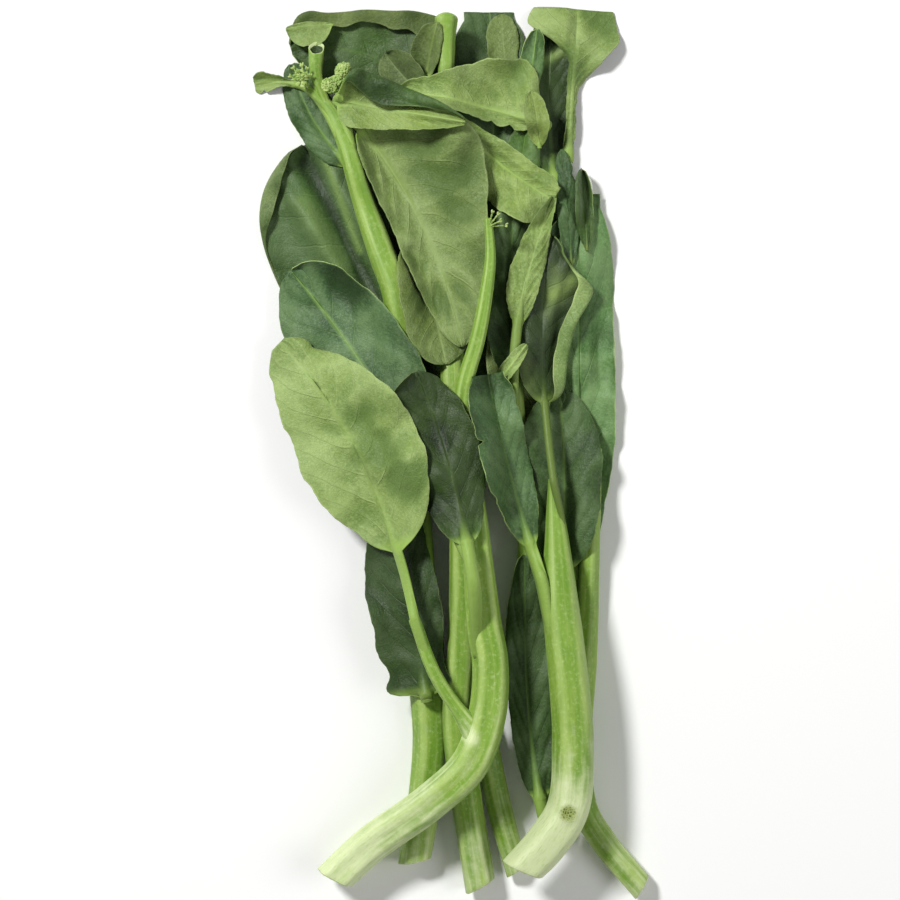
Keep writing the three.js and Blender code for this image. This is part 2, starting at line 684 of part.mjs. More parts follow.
function makeStem(name, { points, branches = [] }) {
  const line = stemLine(points, STEM_STEP);
  const fine = stemLine(points, STEM_STEP / 4);
  layRod(fine);
  line.forEach((p) => {
    const rest = nearestHeight(fine, [p.x, p.y]);
    const flat = p.radius * Math.cos(Math.PI / SIDES) - FLAT_DEPTH;
    p.z = rest < p.radius + TOUCH ? flat : rest;
  });
  clearRod(line);
  const solids = [tubeSolid(line, SIDES, CUT_SLANT)];
  for (const branch of branches) {
    const root = nearestHeight(fine, branch.from);
    const path = [branch.from, branch.to, branch.end].map(([x, y, rise], i) => ({
      x,
      y,
      z: Math.max(root + rise, ballRest(x, y, branch.radius)),
      radius: i === 2 ? branch.tip : branch.radius,
    }));
    path[0].z = root;
    solids.push(tubeSolid(path, BRANCH_SIDES, 0));
  }
  return joined(solids);
}

// Bud heads

function seededRandom(seed) {
  let state = seed;
  return () => {
    state = (state * 1103515245 + 12345) % 2147483648;
    return state / 2147483648;
  };
}

function makeHead(name, { at: [x, y], spread, buds }) {
  const random = seededRandom(HEAD_SEED + name.length);
  const bud = (centre, radius) => {
    const ball = new THREE.IcosahedronGeometry(radius, 0);
    ball.deleteAttribute('normal');
    ball.deleteAttribute('uv');
    const merged = mergeVertices(ball, 1e-4);
    const place = merged.getAttribute('position');
    const vertices = Array.from({ length: place.count }, (_, i) => (
      new THREE.Vector3().fromBufferAttribute(place, i).add(centre)
    ));
    const index = [...merged.index.array];
    const triangles = Array.from({ length: index.length / 3 }, (_, i) => index.slice(3 * i, 3 * i + 3));
    return { vertices, triangles };
  };
  const middle = new THREE.Vector3(x, y, spread + BUD_RADIUS);
  const solids = [bud(middle, spread)];
  for (let k = 0; k < buds; k += 1) {
    const turn = 2.4 * k;
    const lift = 0.9 * (1 - (2 * (k + 0.5)) / buds);
    const out = Math.sqrt(1 - lift * lift);
    const centre = new THREE.Vector3(Math.cos(turn) * out, Math.sin(turn) * out, lift)
      .multiplyScalar(spread * (0.85 + 0.1 * random()))
      .add(middle);
    solids.push(bud(centre, BUD_RADIUS * (0.85 + 0.3 * random())));
  }
  const head = joined(solids);
  let lift = 0;
  for (const [ia, ib, ic] of head.triangles) {
    const [a, b, c] = [head.vertices[ia], head.vertices[ib], head.vertices[ic]];
    forSamples(a, b, c, (wa, wb, wc) => {
      const need = floorAt(wa * a.x + wb * b.x + wc * c.x, wa * a.y + wb * b.y + wc * c.y);
      lift = Math.max(lift, need - (wa * a.z + wb * b.z + wc * c.z));
    });
  }
  head.vertices.forEach((v) => { v.z += lift; });
  return head;
}

// The bunch

function colourOf(name) {
  if (LEAVES[name]) return COLOURS[LEAVES[name].up];
  if (HEADS[name]) return COLOURS.bud;
  return COLOURS.stem;
}

function makePiece(name) {
  if (LEAVES[name]) return makeLeaf(name, LEAVES[name]);
  if (HEADS[name]) return makeHead(name, HEADS[name]);
  return makeStem(name, STEMS[name]);
}

function toMesh(name, { vertices, triangles }) {
  const geometry = new THREE.BufferGeometry();
  const places = vertices.flatMap((v) => [v.x, v.y, v.z]);
  geometry.setAttribute('position', new THREE.Float32BufferAttribute(places, 3));
  geometry.setIndex(triangles.flat());
  geometry.computeVertexNormals();
  const material = new THREE.MeshStandardMaterial({ color: colourOf(name), roughness: 0.6, metalness: 0 });
  const mesh = new THREE.Mesh(geometry, material);
  mesh.name = name;
  return mesh;
}

const bunch = new THREE.Group();
for (const name of LAYING) {
  const solid = makePiece(name);
  pileUp(solid.vertices, solid.triangles);
  bunch.add(toMesh(name, solid));
}
bunch.position.set(-CENTRE_X, -CENTRE_Y, 0);
bunch.updateMatrixWorld(true);

export default bunch;
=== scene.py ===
"""A bunch of Chinese broccoli lying on a pale table, seen from above.

The plan of every stem and leaf repeats the solid model's, in its millimetres. Each fine
surface takes its heights from the solid that it stands for, and is then laid clear of those
that were laid before it.
"""

import math
import random

import bpy
import numpy as np
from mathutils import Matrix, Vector
from mathutils.bvhtree import BVHTree


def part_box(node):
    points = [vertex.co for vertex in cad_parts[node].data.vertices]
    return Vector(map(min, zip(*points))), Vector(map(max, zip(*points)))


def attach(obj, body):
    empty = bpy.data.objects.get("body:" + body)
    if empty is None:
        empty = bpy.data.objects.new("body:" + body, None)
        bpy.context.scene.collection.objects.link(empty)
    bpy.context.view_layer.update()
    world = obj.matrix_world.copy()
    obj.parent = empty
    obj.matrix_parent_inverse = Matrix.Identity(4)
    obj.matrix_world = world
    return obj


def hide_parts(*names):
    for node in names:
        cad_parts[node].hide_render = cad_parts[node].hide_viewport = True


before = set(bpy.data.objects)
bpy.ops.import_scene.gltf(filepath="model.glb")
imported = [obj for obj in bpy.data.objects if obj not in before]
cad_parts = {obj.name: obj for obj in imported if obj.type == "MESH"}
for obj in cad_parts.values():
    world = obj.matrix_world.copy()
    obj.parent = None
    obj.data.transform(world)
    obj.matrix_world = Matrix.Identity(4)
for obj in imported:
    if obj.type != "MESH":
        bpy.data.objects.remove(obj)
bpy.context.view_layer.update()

# The solid model's plan
MM = 0.001
CENTRE = (4.0, -0.9)
SAME_PLACE = 0.05
STALK_SHARE = 0.16
WIDEST = 0.45
SLIM_POWER = 1.5
ROUND_POWER = 0.6
BLADE = 1.0
STALK_RADIUS = 2.3
TIP_HALF_WIDTH = 1.2
SIDE_COLUMN = 0.58
LARGE_ROWS = 11
SMALL_ROWS = 6
SMALL_SCALE = 0.6
FOLD_OPENING = 2.4
FLAP_RISE = 0.12
FOLD_NARROW = 6

# Fine leaves: lengths in millimetres, the rest counts, shares and paces
BLADE_HALF = 0.24
RIM_HALF = 0.12
RIM_START = 0.9
RIM_WIDTH = 0.1
ROWS_PER_MM = 0.85
ROWS_LEAST = 30
WING_COLUMNS = 18
WING_POWER = 1.15
RIB_COLUMNS = 7
HAIRPIN_COLUMNS = 7
FLAP_COLUMNS = 9
RIB_BASE = 1.95
RIB_FADE = 7
RIB_BLADE = 0.3
RIB_TIP = 0.1
RIB_WIDEST = 0.93
RIB_HEIGHT = 0.9
RIB_FLUSH = 0.1
STALK_FADE = 7
# Painted highlights: how much of a painted light streak turns into the lit colour, how much of it is taken
# off the shade, and how much warmer it makes the leaf
LIT_SHARE = 0.38
LIT_TAKEN = 0.7
LIGHT_WARMS = 0.5
EDGE_WAVE = 2.5
WAVE_LENGTH = 20
EDGE_RIPPLE = 0.5
RIPPLE_LENGTH = 7
RAGGED = 0.05
RAGGED_WAVES = ((13, 1), (27, 0.6), (49, 0.35))
RAGGED_PEAK = 1.95
TOOTH = 0.1
TOOTH_WAVES = ((96, 1), (171, 0.6))
EDGE_STARTS = 10
EDGE_ENDS = 9
BLADE_LEAST = 1.04
FLAP_UNEVEN = 0.3
FLAP_LEAST = 0.2
ROLL_LEAST = 0.25
ROLL_SHARE = 0.22
FOLDED_SHARE = 0.7
ROLL_PLACE = 0.75
FLAP_START = 0.78
FLAP_SPAN = 0.22
QUILT = 0.55
RELIEF_STARTS = 5
RELIEF_ON_RIB = 0.25
RELIEF_SPREADS = 4
FOLD_LENGTH = 46
FOLD_WIDTH = 15
FOLD_DEPTH = 1.9
CRUMPLE_SIZE = 17
CRUMPLE_DEPTH = 0.6
CREASE_SIZE = 15
CREASE_DEPTH = 1.3
CREASE_MEAN = 0.8
CREST_HEIGHT = 1.6
PUCKER_SIZE = 6.5
PUCKER_DEPTH = 0.1
VEIN_PAIRS = 8
VEIN_RAKE = 2.1
VEIN_POWER = 1.25
QUILT_POWER = 0.6

# Uneven fields: their waves, and the seeds that each kind of unevenness adds to the leaf's
FIELD_WAVES = 11
FIELD_PACE = (0.55, 1.25)
CRUMPLE_SEED = 100
PUCKER_SEED = 200
WAVE_SEED = 300
RIPPLE_SEED = 400
CREASE_SEED = 500

# Fine stems: lengths in millimetres, the rest counts and shares
STEM_STEP = 1.3
STEM_SIDES = 52
STEM_RIDGES = 5
STEM_DEPTH = 0.97
RIDGE_RELIEF = 0.045
LUMP_RELIEF = 0.012
CUT_SLANT = 0.35
CUT_CLEAR = 1.6
SLANT_RINGS = 6
HOLLOW_SLANT = 0.95
LUMPS = ((0.35, 31, 3), (0.3, 53, 1))
CURVE_POINTS = 24
BRANCH_STEP = 1.2
BRANCH_SIDES = 26
BRANCH_SEED = 20
BRANCH_FLARE = 0.9
FLARE_FADE = 3.2
HEIGHT_REACH = 7
LIFT_REACH = 9
LIFT_STEPS = 5
LIFT_HELD = 4
LOW_SHARES = (-0.8, -0.5, -0.2, 0.2, 0.5, 0.8)
PALE_REACH = 70
BRANCH_PALE_REACH = 12
MAP_LENGTH = 100
SCAR_RIM = 0.9
SCAR_RIM_WIDTH = 0.9
SCAR_HOLLOW = 0.5
SCAR_DEPTH = 0.3
SCAR_REACH = 1.25
FAR = 99

# Rings of a cut end from its rim in, as share of the radius, depth and roughness
CUT_RINGS = ((0.97, -0.35, 0.04), (0.9, -0.45, 0.06), (0.8, -0.3, 0.12), (0.6, -0.1, 0.14),
             (0.35, 0.05, 0.12), (0.05, 0.1, 0))

# Rings of the hollow in a snapped shoot, as share of the radius and depth; the first are its lip
HOLLOW_RINGS = ((0.95, -0.25), (0.86, -0.2), (0.8, 0.8), (0.72, 2.5), (0.5, 4.4), (0.05, 4.6))
HOLLOW_LIP = 2

# Rings of a round end, as angles, and how far it rises as a share of the radius
ROUND_RINGS = (0.35, 0.7, 1.05, 1.3, 1.5)
ROUND_RISE = 0.6

# Roots of the leaf stalks: lengths in millimetres, the rest counts and shares
ROOT_REACH = 14
ROOT_LENGTH = 15
ROOT_STRETCH = 1.5
ROOT_ROWS = 12
ROOT_SLIM = 0.5
ROOT_FLARE = 0.18
ROOT_FLANK = 0.72
ROOT_PULL = 0.7
ROOT_REST = 0.4
ROOT_SETTLE = 0.55

# Laying, in millimetres: the map of the heap, the room between pieces and where rays start
MAP_CELL = 0.5
MAP_HALF = (100, 200)
CLEARANCE = 0.12
OFF_TABLE = 0.02
RAY_TOP = 200
RAY_LOW = -50

STEMS = {
    "stem_diagonal": {
        "points": [(-10, -165, 6.4), (-6, -140, 6.6), (-4, -116, 6.8), (-5, -96, 7), (-9, -40, 6.6),
                   (-12, 20, 6.2), (-17, 62, 5.8), (-23, 78, 5.3), (-31, 101, 4.4), (-38, 124, 3.6),
                   (-45, 138, 2.6), (-53, 145, 1.6)],
        "shade": 0.5,
        "branches": [
            {"line": [(-45, 137), (-49.5, 150), (-49.5, 161)], "rise": [0, 1.5, 3],
             "radii": [1.8, 2.5, 3.2], "form": "hollow", "flare": 0},
            {"line": [(-4, -96), (-13, -96), (-15.5, -94)], "rise": [0, 1, 2], "radii": [2.4, 2.4, 2]},
        ],
    },
    "stem_slim": {
        "points": [(31, -169, 4.6), (24, -144, 5), (19, -120, 5), (14, -96, 5), (10, -50, 4.6),
                   (4, 0, 3.8), (2, 30, 3)],
    },
    "stem_wrapped": {
        "points": [(47, -152, 5.2), (43.5, -142, 5.4), (40, -130, 5.6), (36, -108, 5.6), (35, -68, 5.4),
                   (37, -20, 4.4), (36, 4, 3.4)],
    },
    "stem_right": {
        "points": [(81, -176, 5), (66, -158, 5.2), (58, -144, 5.2), (56, -116, 5), (58.5, -84, 4.6),
                   (60, -44, 4), (62, 0, 3)],
    },
    "stem_knob": {
        "points": [(16, -175, 6.2), (10.5, -140, 6.1), (7, -108, 6), (9, -76, 5.8), (9, -30, 5.4),
                   (5, 30, 4.8), (3, 90, 4), (2.5, 140, 3.3), (2.5, 158, 3.3), (2.5, 166, 3.8),
                   (2.5, 172, 4.6)],
    },
    "stem_front": {
        "points": [(-42, -171, 7.1), (-28, -158, 7.2), (-4, -140, 7.2), (12, -124, 7.3), (19, -104, 7.2),
                   (20, -84, 6.9), (17.5, -68, 6.6), (14, -30, 5), (9, 20, 3.4), (15, 44, 2.9),
                   (18, 60, 2.6), (20, 76, 2.1), (19.2, 91, 1.5)],
        "turn": 0,
        "relief": 0.085,
        "shade": 0.62,
        "pale": 1,
        "pale_reach": 115,
        "collars": [(12, -112.5, 4.5)],
        "branches": [
            {"line": [(14, -112), (-1.5, -89), (-10, -67)], "rise": [0, 3, 3.5],
             "radii": [2.9, 2.6, 2.3]},
        ],
    },
    "stem_thick": {
        "points": [(33, -166, 8), (43, -155, 8.4), (51, -142, 8.4), (53, -116, 8.2), (51, -88, 7.8),
                   (48, -60, 7.1), (46.5, -34, 4.6), (45, -12, 1.8)],
        "scars": [(50.5, -143, 3)],
        "pale": 1.5,
    },
}

# Leaves: base, middle and tip of the midrib in plan, half widths to its left and right, the side that looks
# up, its tone as how warm and how light it is, and what else sets it apart. How light a leaf is drawn holds
# its own tone together with painted shade and painted light for where it lies in the heap; "lights" paint
# highlights along lines, or shade where their strength is negative, and "flap_shade" and "stalk_shade" set
# how light the folded flap and the stalk are drawn, partly as painted shade.
LEAVES = {
    "leaf_under_left": {
        "line": [(-4, -60), (-26, 20), (-46, 100)], "left": 24, "right": 22, "up": "pale",
        "tone": (0.5, 0.25),
    },
    "leaf_under_middle": {
        "line": [(12, -44), (6, 48), (-4, 150)], "left": 25, "right": 24, "up": "dark",
        "tone": (0.5, 0.2),
    },
    "leaf_under_right": {
        "line": [(42, -60), (41, 28), (38, 118)], "left": 22, "right": 19, "up": "pale",
        "tone": (0.6, 0.2),
    },
    "leaf_under_top": {
        "line": [(28, 70), (22, 125), (20, 177)], "left": 16, "right": 15, "up": "dark",
        "tone": (0.5, 0.25), "tip": "blunt",
    },
    "leaf_edge_right": {
        "line": [(54, -58), (56, 20), (55, 103)], "left": 12, "right": 14.5, "up": "dark",
        "tone": (0.3, 1.35), "tip": "blunt", "stalk": 0.06, "rib": 0.3,
    },
    "leaf_corner_blue": {
        "line": [(-33, 112), (-50, 131), (-60, 156)], "left": 8, "right": 11, "up": "dark",
        "tone": (0.25, 0.5), "stalk": 0.12, "root": False,
    },
    "leaf_corner_dark": {
        "line": [(6, 130), (-26, 158), (-60, 161)], "left": 17, "right": 18, "up": "dark",
        "tone": (0.9, 0.2), "stalk": 0.12, "fold": ("right", 0.36), "flap_shade": -0.15,
        "shape": {"right": [1, 1.7, 1.75, 1.45, 1.12, 0.96, 0.87, 0.91, 1.2, 3]}, "rib": 0.4,
        "notches": [("left", 0.9, 3, 0.03)],
    },
    "leaf_left_dark": {
        "line": [(-6, 12), (-35, 80), (-55, 123)], "left": 33, "right": 22, "up": "dark",
        "tone": (0.6, 0.3), "widest": 0.42, "folds": 1.7,
        "fold": ("left", 0.22), "flap": [0.05, 0.05, 0.05, 0.05, 0.05, 0.1, 0.5, 1.2, 1.7, 1.7],
        "flap_shade": 0, "flap_warm": 0, "rib": 0.15,
        "creases": [(0.05, -0.1, 0.85, -0.45, 4.5, 3.2), (0.05, 0.05, 0.9, -0.1, -3.5, 3),
                    (0.1, 0.3, 0.95, 0.12, 4.5, 3)],
        "lights": [(0.4, 0.08, 0.95, 0.17, 1.2, 1.5), (0.35, -0.2, 0.7, -0.32, 0.6, 4),
                   (0.3, -0.06, 0.95, 0.02, -0.4, 2.2), (0.2, 0.36, 0.9, 0.32, -0.3, 3)],
    },
    "leaf_top_right_dark": {
        "line": [(48, 96), (44, 138), (46, 174)], "left": 9, "right": 10, "up": "dark",
        "tone": (1, -0.25), "tip": "blunt", "lights": [(0.66, -0.8, 0.82, 0.9, 2, 2.2)],
    },
    "leaf_top_right_pale": {
        "line": [(51.5, 116), (53.5, 146), (55.5, 178)], "left": 4, "right": 16, "up": "pale",
        "tone": (0.5, 0.45), "widest": 0.82, "base": "slim", "tip": "blunt", "stalk": 0.06,
        "shape": {"left": [1, 1, 0.8, 0.8, 0.8, 0.8, 0.8, 2.5, 5, 6],
                  "right": [1, 0.7, 0.45, 0.3, 0.34, 0.65, 0.94, 1.13, 1.03, 1.4]},
        "rib": 0.15,
    },
    "leaf_right_inner": {
        "line": [(32, 12), (29, 56), (29, 99)], "left": 11, "right": 12, "up": "dark",
        "tone": (0.7, 0.3),
    },
    "leaf_right_blue": {
        "line": [(44, 74), (48.5, 86), (54.5, 99)], "left": 5, "right": 4, "up": "dark",
        "tone": (0.1, 0.9), "small": True, "tip": "pointed", "stalk": 0.04, "slim": 0.4,
        "rib": 0.2, "stalk_shade": -0.1,
    },
    "leaf_right_notched": {
        "line": [(53, 72), (51, 98), (49, 121)], "left": 4.5, "right": 4.5, "up": "dark",
        "tone": (0.2, 0.6), "small": True, "stalk": 0.05, "slim": 0.4, "rib": 0.2,
        "stalk_shade": -0.1,
        "notches": [("right", 0.5, 1.3, 0.04), ("right", 0.75, 1, 0.03)],
    },
    "leaf_right_curled": {
        "line": [(59, 80), (58, 98), (57, 113)], "left": 4, "right": 3.6, "up": "dark",
        "tone": (0.9, 0.25), "small": True, "stalk": 0.03, "slim": 0.35, "rib": 0.2,
        "stalk_shade": -0.1, "crumple": 2,
    },
    "leaf_right_short": {
        "line": [(34, 96), (33, 115), (36, 133)], "left": 7, "right": 7, "up": "dark",
        "tone": (0.9, 0.9), "small": True, "stalk": 0.05, "slim": 0.5,
    },
    "leaf_right_pale": {
        "line": [(0, 136), (24, 115), (45.5, 100)], "left": 8, "right": 15, "up": "pale",
        "root": False, "tone": (0.75, 0.55), "widest": 0.62, "tip": "blunt", "stalk": 0.1,
    },
    "leaf_top_round": {
        "line": [(27, 144), (25.5, 160), (25, 176)], "left": 6.5, "right": 6.5, "up": "pale",
        "tone": (0.7, 0.05), "small": True, "widest": 0.6, "rib": 0.3,
    },
    "leaf_top_grey": {
        "line": [(35, 138), (37, 154), (39, 169)], "left": 5, "right": 4.5, "up": "dark",
        "tone": (0.4, 0.95), "small": True,
    },
    "leaf_top_inner": {
        "line": [(-6, 146), (-4, 158), (-1, 170)], "left": 8, "right": 4, "up": "pale",
        "tone": (0.5, 0), "small": True,
    },
    "leaf_top_middle": {
        "line": [(-4, 140), (-14, 150), (-22, 160)], "left": 8, "right": 7, "up": "pale",
        "tone": (0.2, -0.15), "small": True,
    },
    "leaf_tip_flap": {
        "line": [(-43, 171), (-53, 170.5), (-62, 169.5)], "left": 8.5, "right": 1.8, "up": "pale",
        "tone": (0.5, 0.4), "small": True, "root": False, "stalk": 0.03, "slim": 0.35, "rib": 0.15,
        "stalk_shade": 0.4,
    },
    "leaf_bud_bright": {
        "line": [(-56, 147), (-65, 148.5), (-75, 147.5)], "left": 4, "right": 4.5, "up": "pale",
        "tone": (1, 0.4), "small": True, "widest": 0.75, "base": "slim", "tip": "blunt",
        "crumple": 1.8, "creases": [(0.2, -0.3, 0.95, -0.5, 1.2, 1), (0.2, 0.3, 0.95, 0.5, -1.2, 1)],
        "notches": [("left", 0.8, 1.2, 0.04)],
    },
    "leaf_front_back": {
        "line": [(-14, 100), (-5, 64), (2.5, 34)], "left": 13, "right": 12, "up": "pale",
        "tone": (0.8, 0.05), "widest": 0.6,
    },
    "leaf_front_pale": {
        "line": [(-38, 136), (-9, 94), (9, 41)], "left": 25, "right": 12, "up": "pale",
        "tone": (0.42, 0.2), "stalk": 0.1, "widest": 0.5, "folds": 1.3, "rib": 0.7,
        "shape": {"left": [1, 1.5, 1.65, 1.5, 1.25, 1.05, 0.95, 0.9, 0.85, 0.8]}, "quilt": 1.5,
        "creases": [(0.5, 0.36, 0.78, -0.45, 2, 2), (0.62, 0.2, 0.92, -0.25, 1.2, 1.6),
                    (0.1, -0.4, 0.5, -0.6, -2.2, 4), (0.05, 0.3, 0.45, 0.1, 1.6, 3)],
    },
    "leaf_top_pale": {
        "line": [(44, 130), (16, 137.5), (-17.5, 143)], "left": 6, "right": 20, "up": "pale",
        "tone": (0.6, 0.55), "widest": 0.25, "tip": "pointed", "stalk": 0.1, "root": False,
        "shape": {"right": [1.1, 1.15, 1.15, 1.1, 1.05, 1, 0.95, 0.95, 0.95, 0.95]},
        "notches": [("right", 0.05, 2.5, 0.02), ("left", 0.2, 2, 0.03), ("left", 0.34, 1.6, 0.02)],
    },
    "leaf_right_pale_tip": {
        "line": [(40, 121), (38.5, 132), (36.5, 143)], "left": 4.5, "right": 5, "up": "pale",
        "tone": (1, 0.3), "small": True, "stalk": 0.05, "slim": 0.5,
    },
    "leaf_top_folded": {
        "line": [(-42, 140), (-18, 135), (10, 129.5)], "left": 13, "right": 10, "up": "pale",
        "tone": (0.85, 0.4), "widest": 0.15, "tip": "pointed", "stalk": 0.03, "root": False,
        "fold": ("left", 0.55), "flap": [0.3, 0.9, 1.4, 1.6, 1.6, 1.4, 1.2, 1, 0.8, 0.5],
        "flap_shade": 0.35, "uneven": 0.06,
    },
    "leaf_low_right": {
        "line": [(49, -66), (50, -14), (48, 24)], "left": 18, "right": 15, "up": "dark",
        "tone": (0.5, 0.3),
    },
    "leaf_right_middle": {
        "line": [(45, -12), (41, 44), (45, 86)], "left": 13, "right": 19, "up": "dark",
        "tone": (1, -0.35), "stalk": 0.26, "widest": 0.4, "folds": 1.3, "slim": 0.55,
        "fold": ("right", 0.28), "flap": [1.6, 1.9, 1.9, 1.7, 1.5, 1.3, 1, 0.3, 0.05, 0.05],
        "flap_shade": 0.55, "flap_warm": 0, "uneven": 0.12, "rib": 0.25, "stalk_shade": -0.1,
        "shape": {"right": [1, 0.7, 0.6, 0.64, 0.75, 0.97, 1.1, 0.75, 0.5, 1]},
        "creases": [(0.35, 0.1, 0.9, 0.45, 2.4, 2.5)],
        "lights": [(0.48, 0.1, 0.76, 0.18, 0.9, 3), (0.6, 0.28, 0.7, 0.56, 2.3, 4),
                   (0.07, -0.34, 0.2, -0.36, 1.3, 3.4)],
    },
    "leaf_right_narrow": {
        "line": [(30, 12), (32, 56), (45.5, 101)], "left": 7.5, "right": 6, "up": "pale",
        "tone": (0.7, 0.6), "stalk": 0.45, "tip": "pointed", "widest": 0.4, "rib": 0.3,
        "crumple": 0.4, "folds": 0.6, "slim": 0.8, "stalk_shade": 0.15,
    },
    "leaf_centre_curl": {
        "line": [(22, 25), (27, 32), (34.5, 42)], "left": 3.2, "right": 3, "up": "pale",
        "tone": (0.5, 0.7), "small": True,
    },
    "leaf_low_wrap": {
        "line": [(43, -152), (35.5, -106), (34, -42)], "left": 8, "right": 12, "up": "dark",
        "tone": (0.6, 0.25), "widest": 0.55,
    },
    "leaf_low_left": {
        "line": [(-5, -100), (-12, -60), (-18, -18)], "left": 17, "right": 12, "up": "dark",
        "tone": (0.7, -0.1), "stalk": 0.04, "root": False, "rib": 0.1, "stalk_shade": 0.1,
        "shape": {"left": [2.6, 1.15, 1.1, 1, 1, 1, 1, 1, 1, 1],
                  "right": [2.4, 1.2, 1, 1, 1, 1, 1, 1, 1, 1]},
    },
    "leaf_left_bloom": {
        "line": [(14, -48), (-22, 20), (-60, 72)], "left": 22, "right": 21, "up": "dark",
        "tone": (0.1, 0.75), "widest": 0.6, "root": False,
    },
    "leaf_centre_dark": {
        "line": [(13, -50), (4, -8), (-9, 31)], "left": 16, "right": 14, "up": "dark",
        "tone": (1, -0.25), "widest": 0.6, "rib": 0.5,
        "shape": {"left": [1, 1, 1, 1, 1, 1, 1.02, 1.08, 1.15, 2],
                  "right": [1, 1, 1, 1, 1, 1, 0.98, 0.9, 0.75, 0.6]},
    },
    "leaf_centre_torn": {
        "line": [(40, -50), (28, -10), (19, 30)], "left": 10, "right": 9.5, "up": "dark",
        "tone": (0.2, 0.8), "widest": 0.6, "tip": "blunt", "rib": 0.4,
        "notches": [("left", 0.63, 2.6, 0.012), ("left", 0.3, 1, 0.02), ("right", 0.8, 1, 0.02)],
    },
    "leaf_left_pale": {
        "line": [(-10, -66), (-31, -4), (-64, 43)], "left": 24, "right": 27, "up": "pale",
        "tone": (0.45, 0.5), "stalk": 0.2, "widest": 0.5, "folds": 1.3, "rib": 0.35, "slim": 0.8,
        "head_on": True,
        "creases": [(0.15, 0.5, 0.5, 0.3, -2.2, 5), (0.3, -0.6, 0.8, -0.4, 1.6, 4)],
        "shape": {"left": [1, 1, 1, 1, 1, 0.94, 0.88, 0.85, 0.83, 5],
                  "right": [1, 1, 1, 1, 0.97, 0.86, 0.78, 0.67, 0.55, 2.5]},
    },
}

# Bud heads: their domes as x, y and radius from the head's middle, and what grows round them.
HEADS = {
    "buds_diagonal_tall": {
        "domes": [(0.2, 0.8, 3.5), (-1.8, -3, 2.1), (2, -2.6, 1.9)], "size": 0.5, "sprigs": [], "bracts": 6,
    },
    "buds_diagonal_low": {
        "domes": [(0, 0.4, 2.6), (2.2, -1, 1.7)], "size": 0.48, "sprigs": [], "bracts": 6,
    },
    "buds_diagonal_tip": {
        "domes": [(-0.6, 0.4, 1.3), (1.7, 1.2, 1)], "size": 0.45, "bracts": 9,
        "sprigs": [(-2.5, 3.5, 0.5), (0.5, 4.5, 0), (2.5, 3, 1), (3.5, 0.5, 0), (-0.5, 2, 2),
                   (-3.5, 0.5, 0.5), (2, -2.5, 0)],
    },
    "buds_front": {
        "domes": [], "size": 0.4, "bracts": 0,
        "sprigs": [(-3.2, 4.2, 2), (-1.2, 3.4, 3), (1.6, -0.4, 2), (-0.4, 1, 3.5)],
    },
}
GOLDEN_TURN = 2.39996
BUD_ROUNDS = 8
BUD_SIDES = 9
BUD_POINT = 0.25
BUD_RIBS = 0.07
BUD_DEPTH = 0.76
BUD_TURN = 0.25
BUD_LEAN = 0.25
BUD_RAISE = 0.2
BUD_WIDTH = (0.75, 1.2)
BUD_LENGTH = (1.5, 2.1)
BUDS_PER_DOME = 4.2
DOME_CORE = 0.84
DOME_LENGTH = 1.9
DOME_COVER = 1.5
DOME_RISE = 0.45
DOME_SINK = 0.3
DOME_STALK = 0.7
HEAD_MARGIN = 1.5
HEAD_BASE = 0.8
TRUNK_TOP = 0.4
TRUNK_RADIUS = 0.28
BRACT_TURN = 0.3
BRACT_RISE = 0.6
BRACT_START = 0.5
BRACT_WIDTH = (0.9, 1.5)
BRACT_THICKNESS = 0.3
BRACT_LENGTH = (0.9, 1.3)
SPRIG_RADIUS = 0.38
SPRIG_BOW = 0.2
SPRIG_ELBOWS = (0, 0.34, 0.67, 1)
SPRIG_TURNS = (0, 2.1, 4.2)
SPRIG_RAISE = 0.3
SPRIG_LEAN = 0.45
SPRIG_BUD = (0.42, 0.34)
SPRIG_BUD_LENGTH = (1.4, 2.2)
STALK_OVERLAP = 0.1

# Tips of the leaves: power and root of their curve, and the share of it at which they end
TIP_FORMS = {"round": (2.2, 0.55, 1), "pointed": (1.3, 0.8, 1), "blunt": (5, 0.4, 0.93)}


# Plan of a leaf

def midrib(line, t):
    """Points and directions, as arrays, of the curve through three plan points."""
    base, middle, tip = (np.array(p, float) for p in line)
    bend = 2 * middle - (base + tip) / 2
    t = np.asarray(t, float)[:, None]
    points = (1 - t) ** 2 * base + 2 * t * (1 - t) * bend + t ** 2 * tip
    slope = 2 * (1 - t) * (bend - base) + 2 * t * (tip - bend)
    return points, slope / np.linalg.norm(slope, axis=1)[:, None]


def blade_share(place, widest, base, tip):
    """Share of the full half width at a place along the blade."""
    rise = place / widest
    if rise < 1:
        return rise ** SLIM_POWER if base == "slim" else (1 - (1 - rise) ** 2) ** ROUND_POWER
    power, root, cut = TIP_FORMS[tip]
    return (1 - min(cut, (place - widest) / (1 - widest)) ** power) ** root


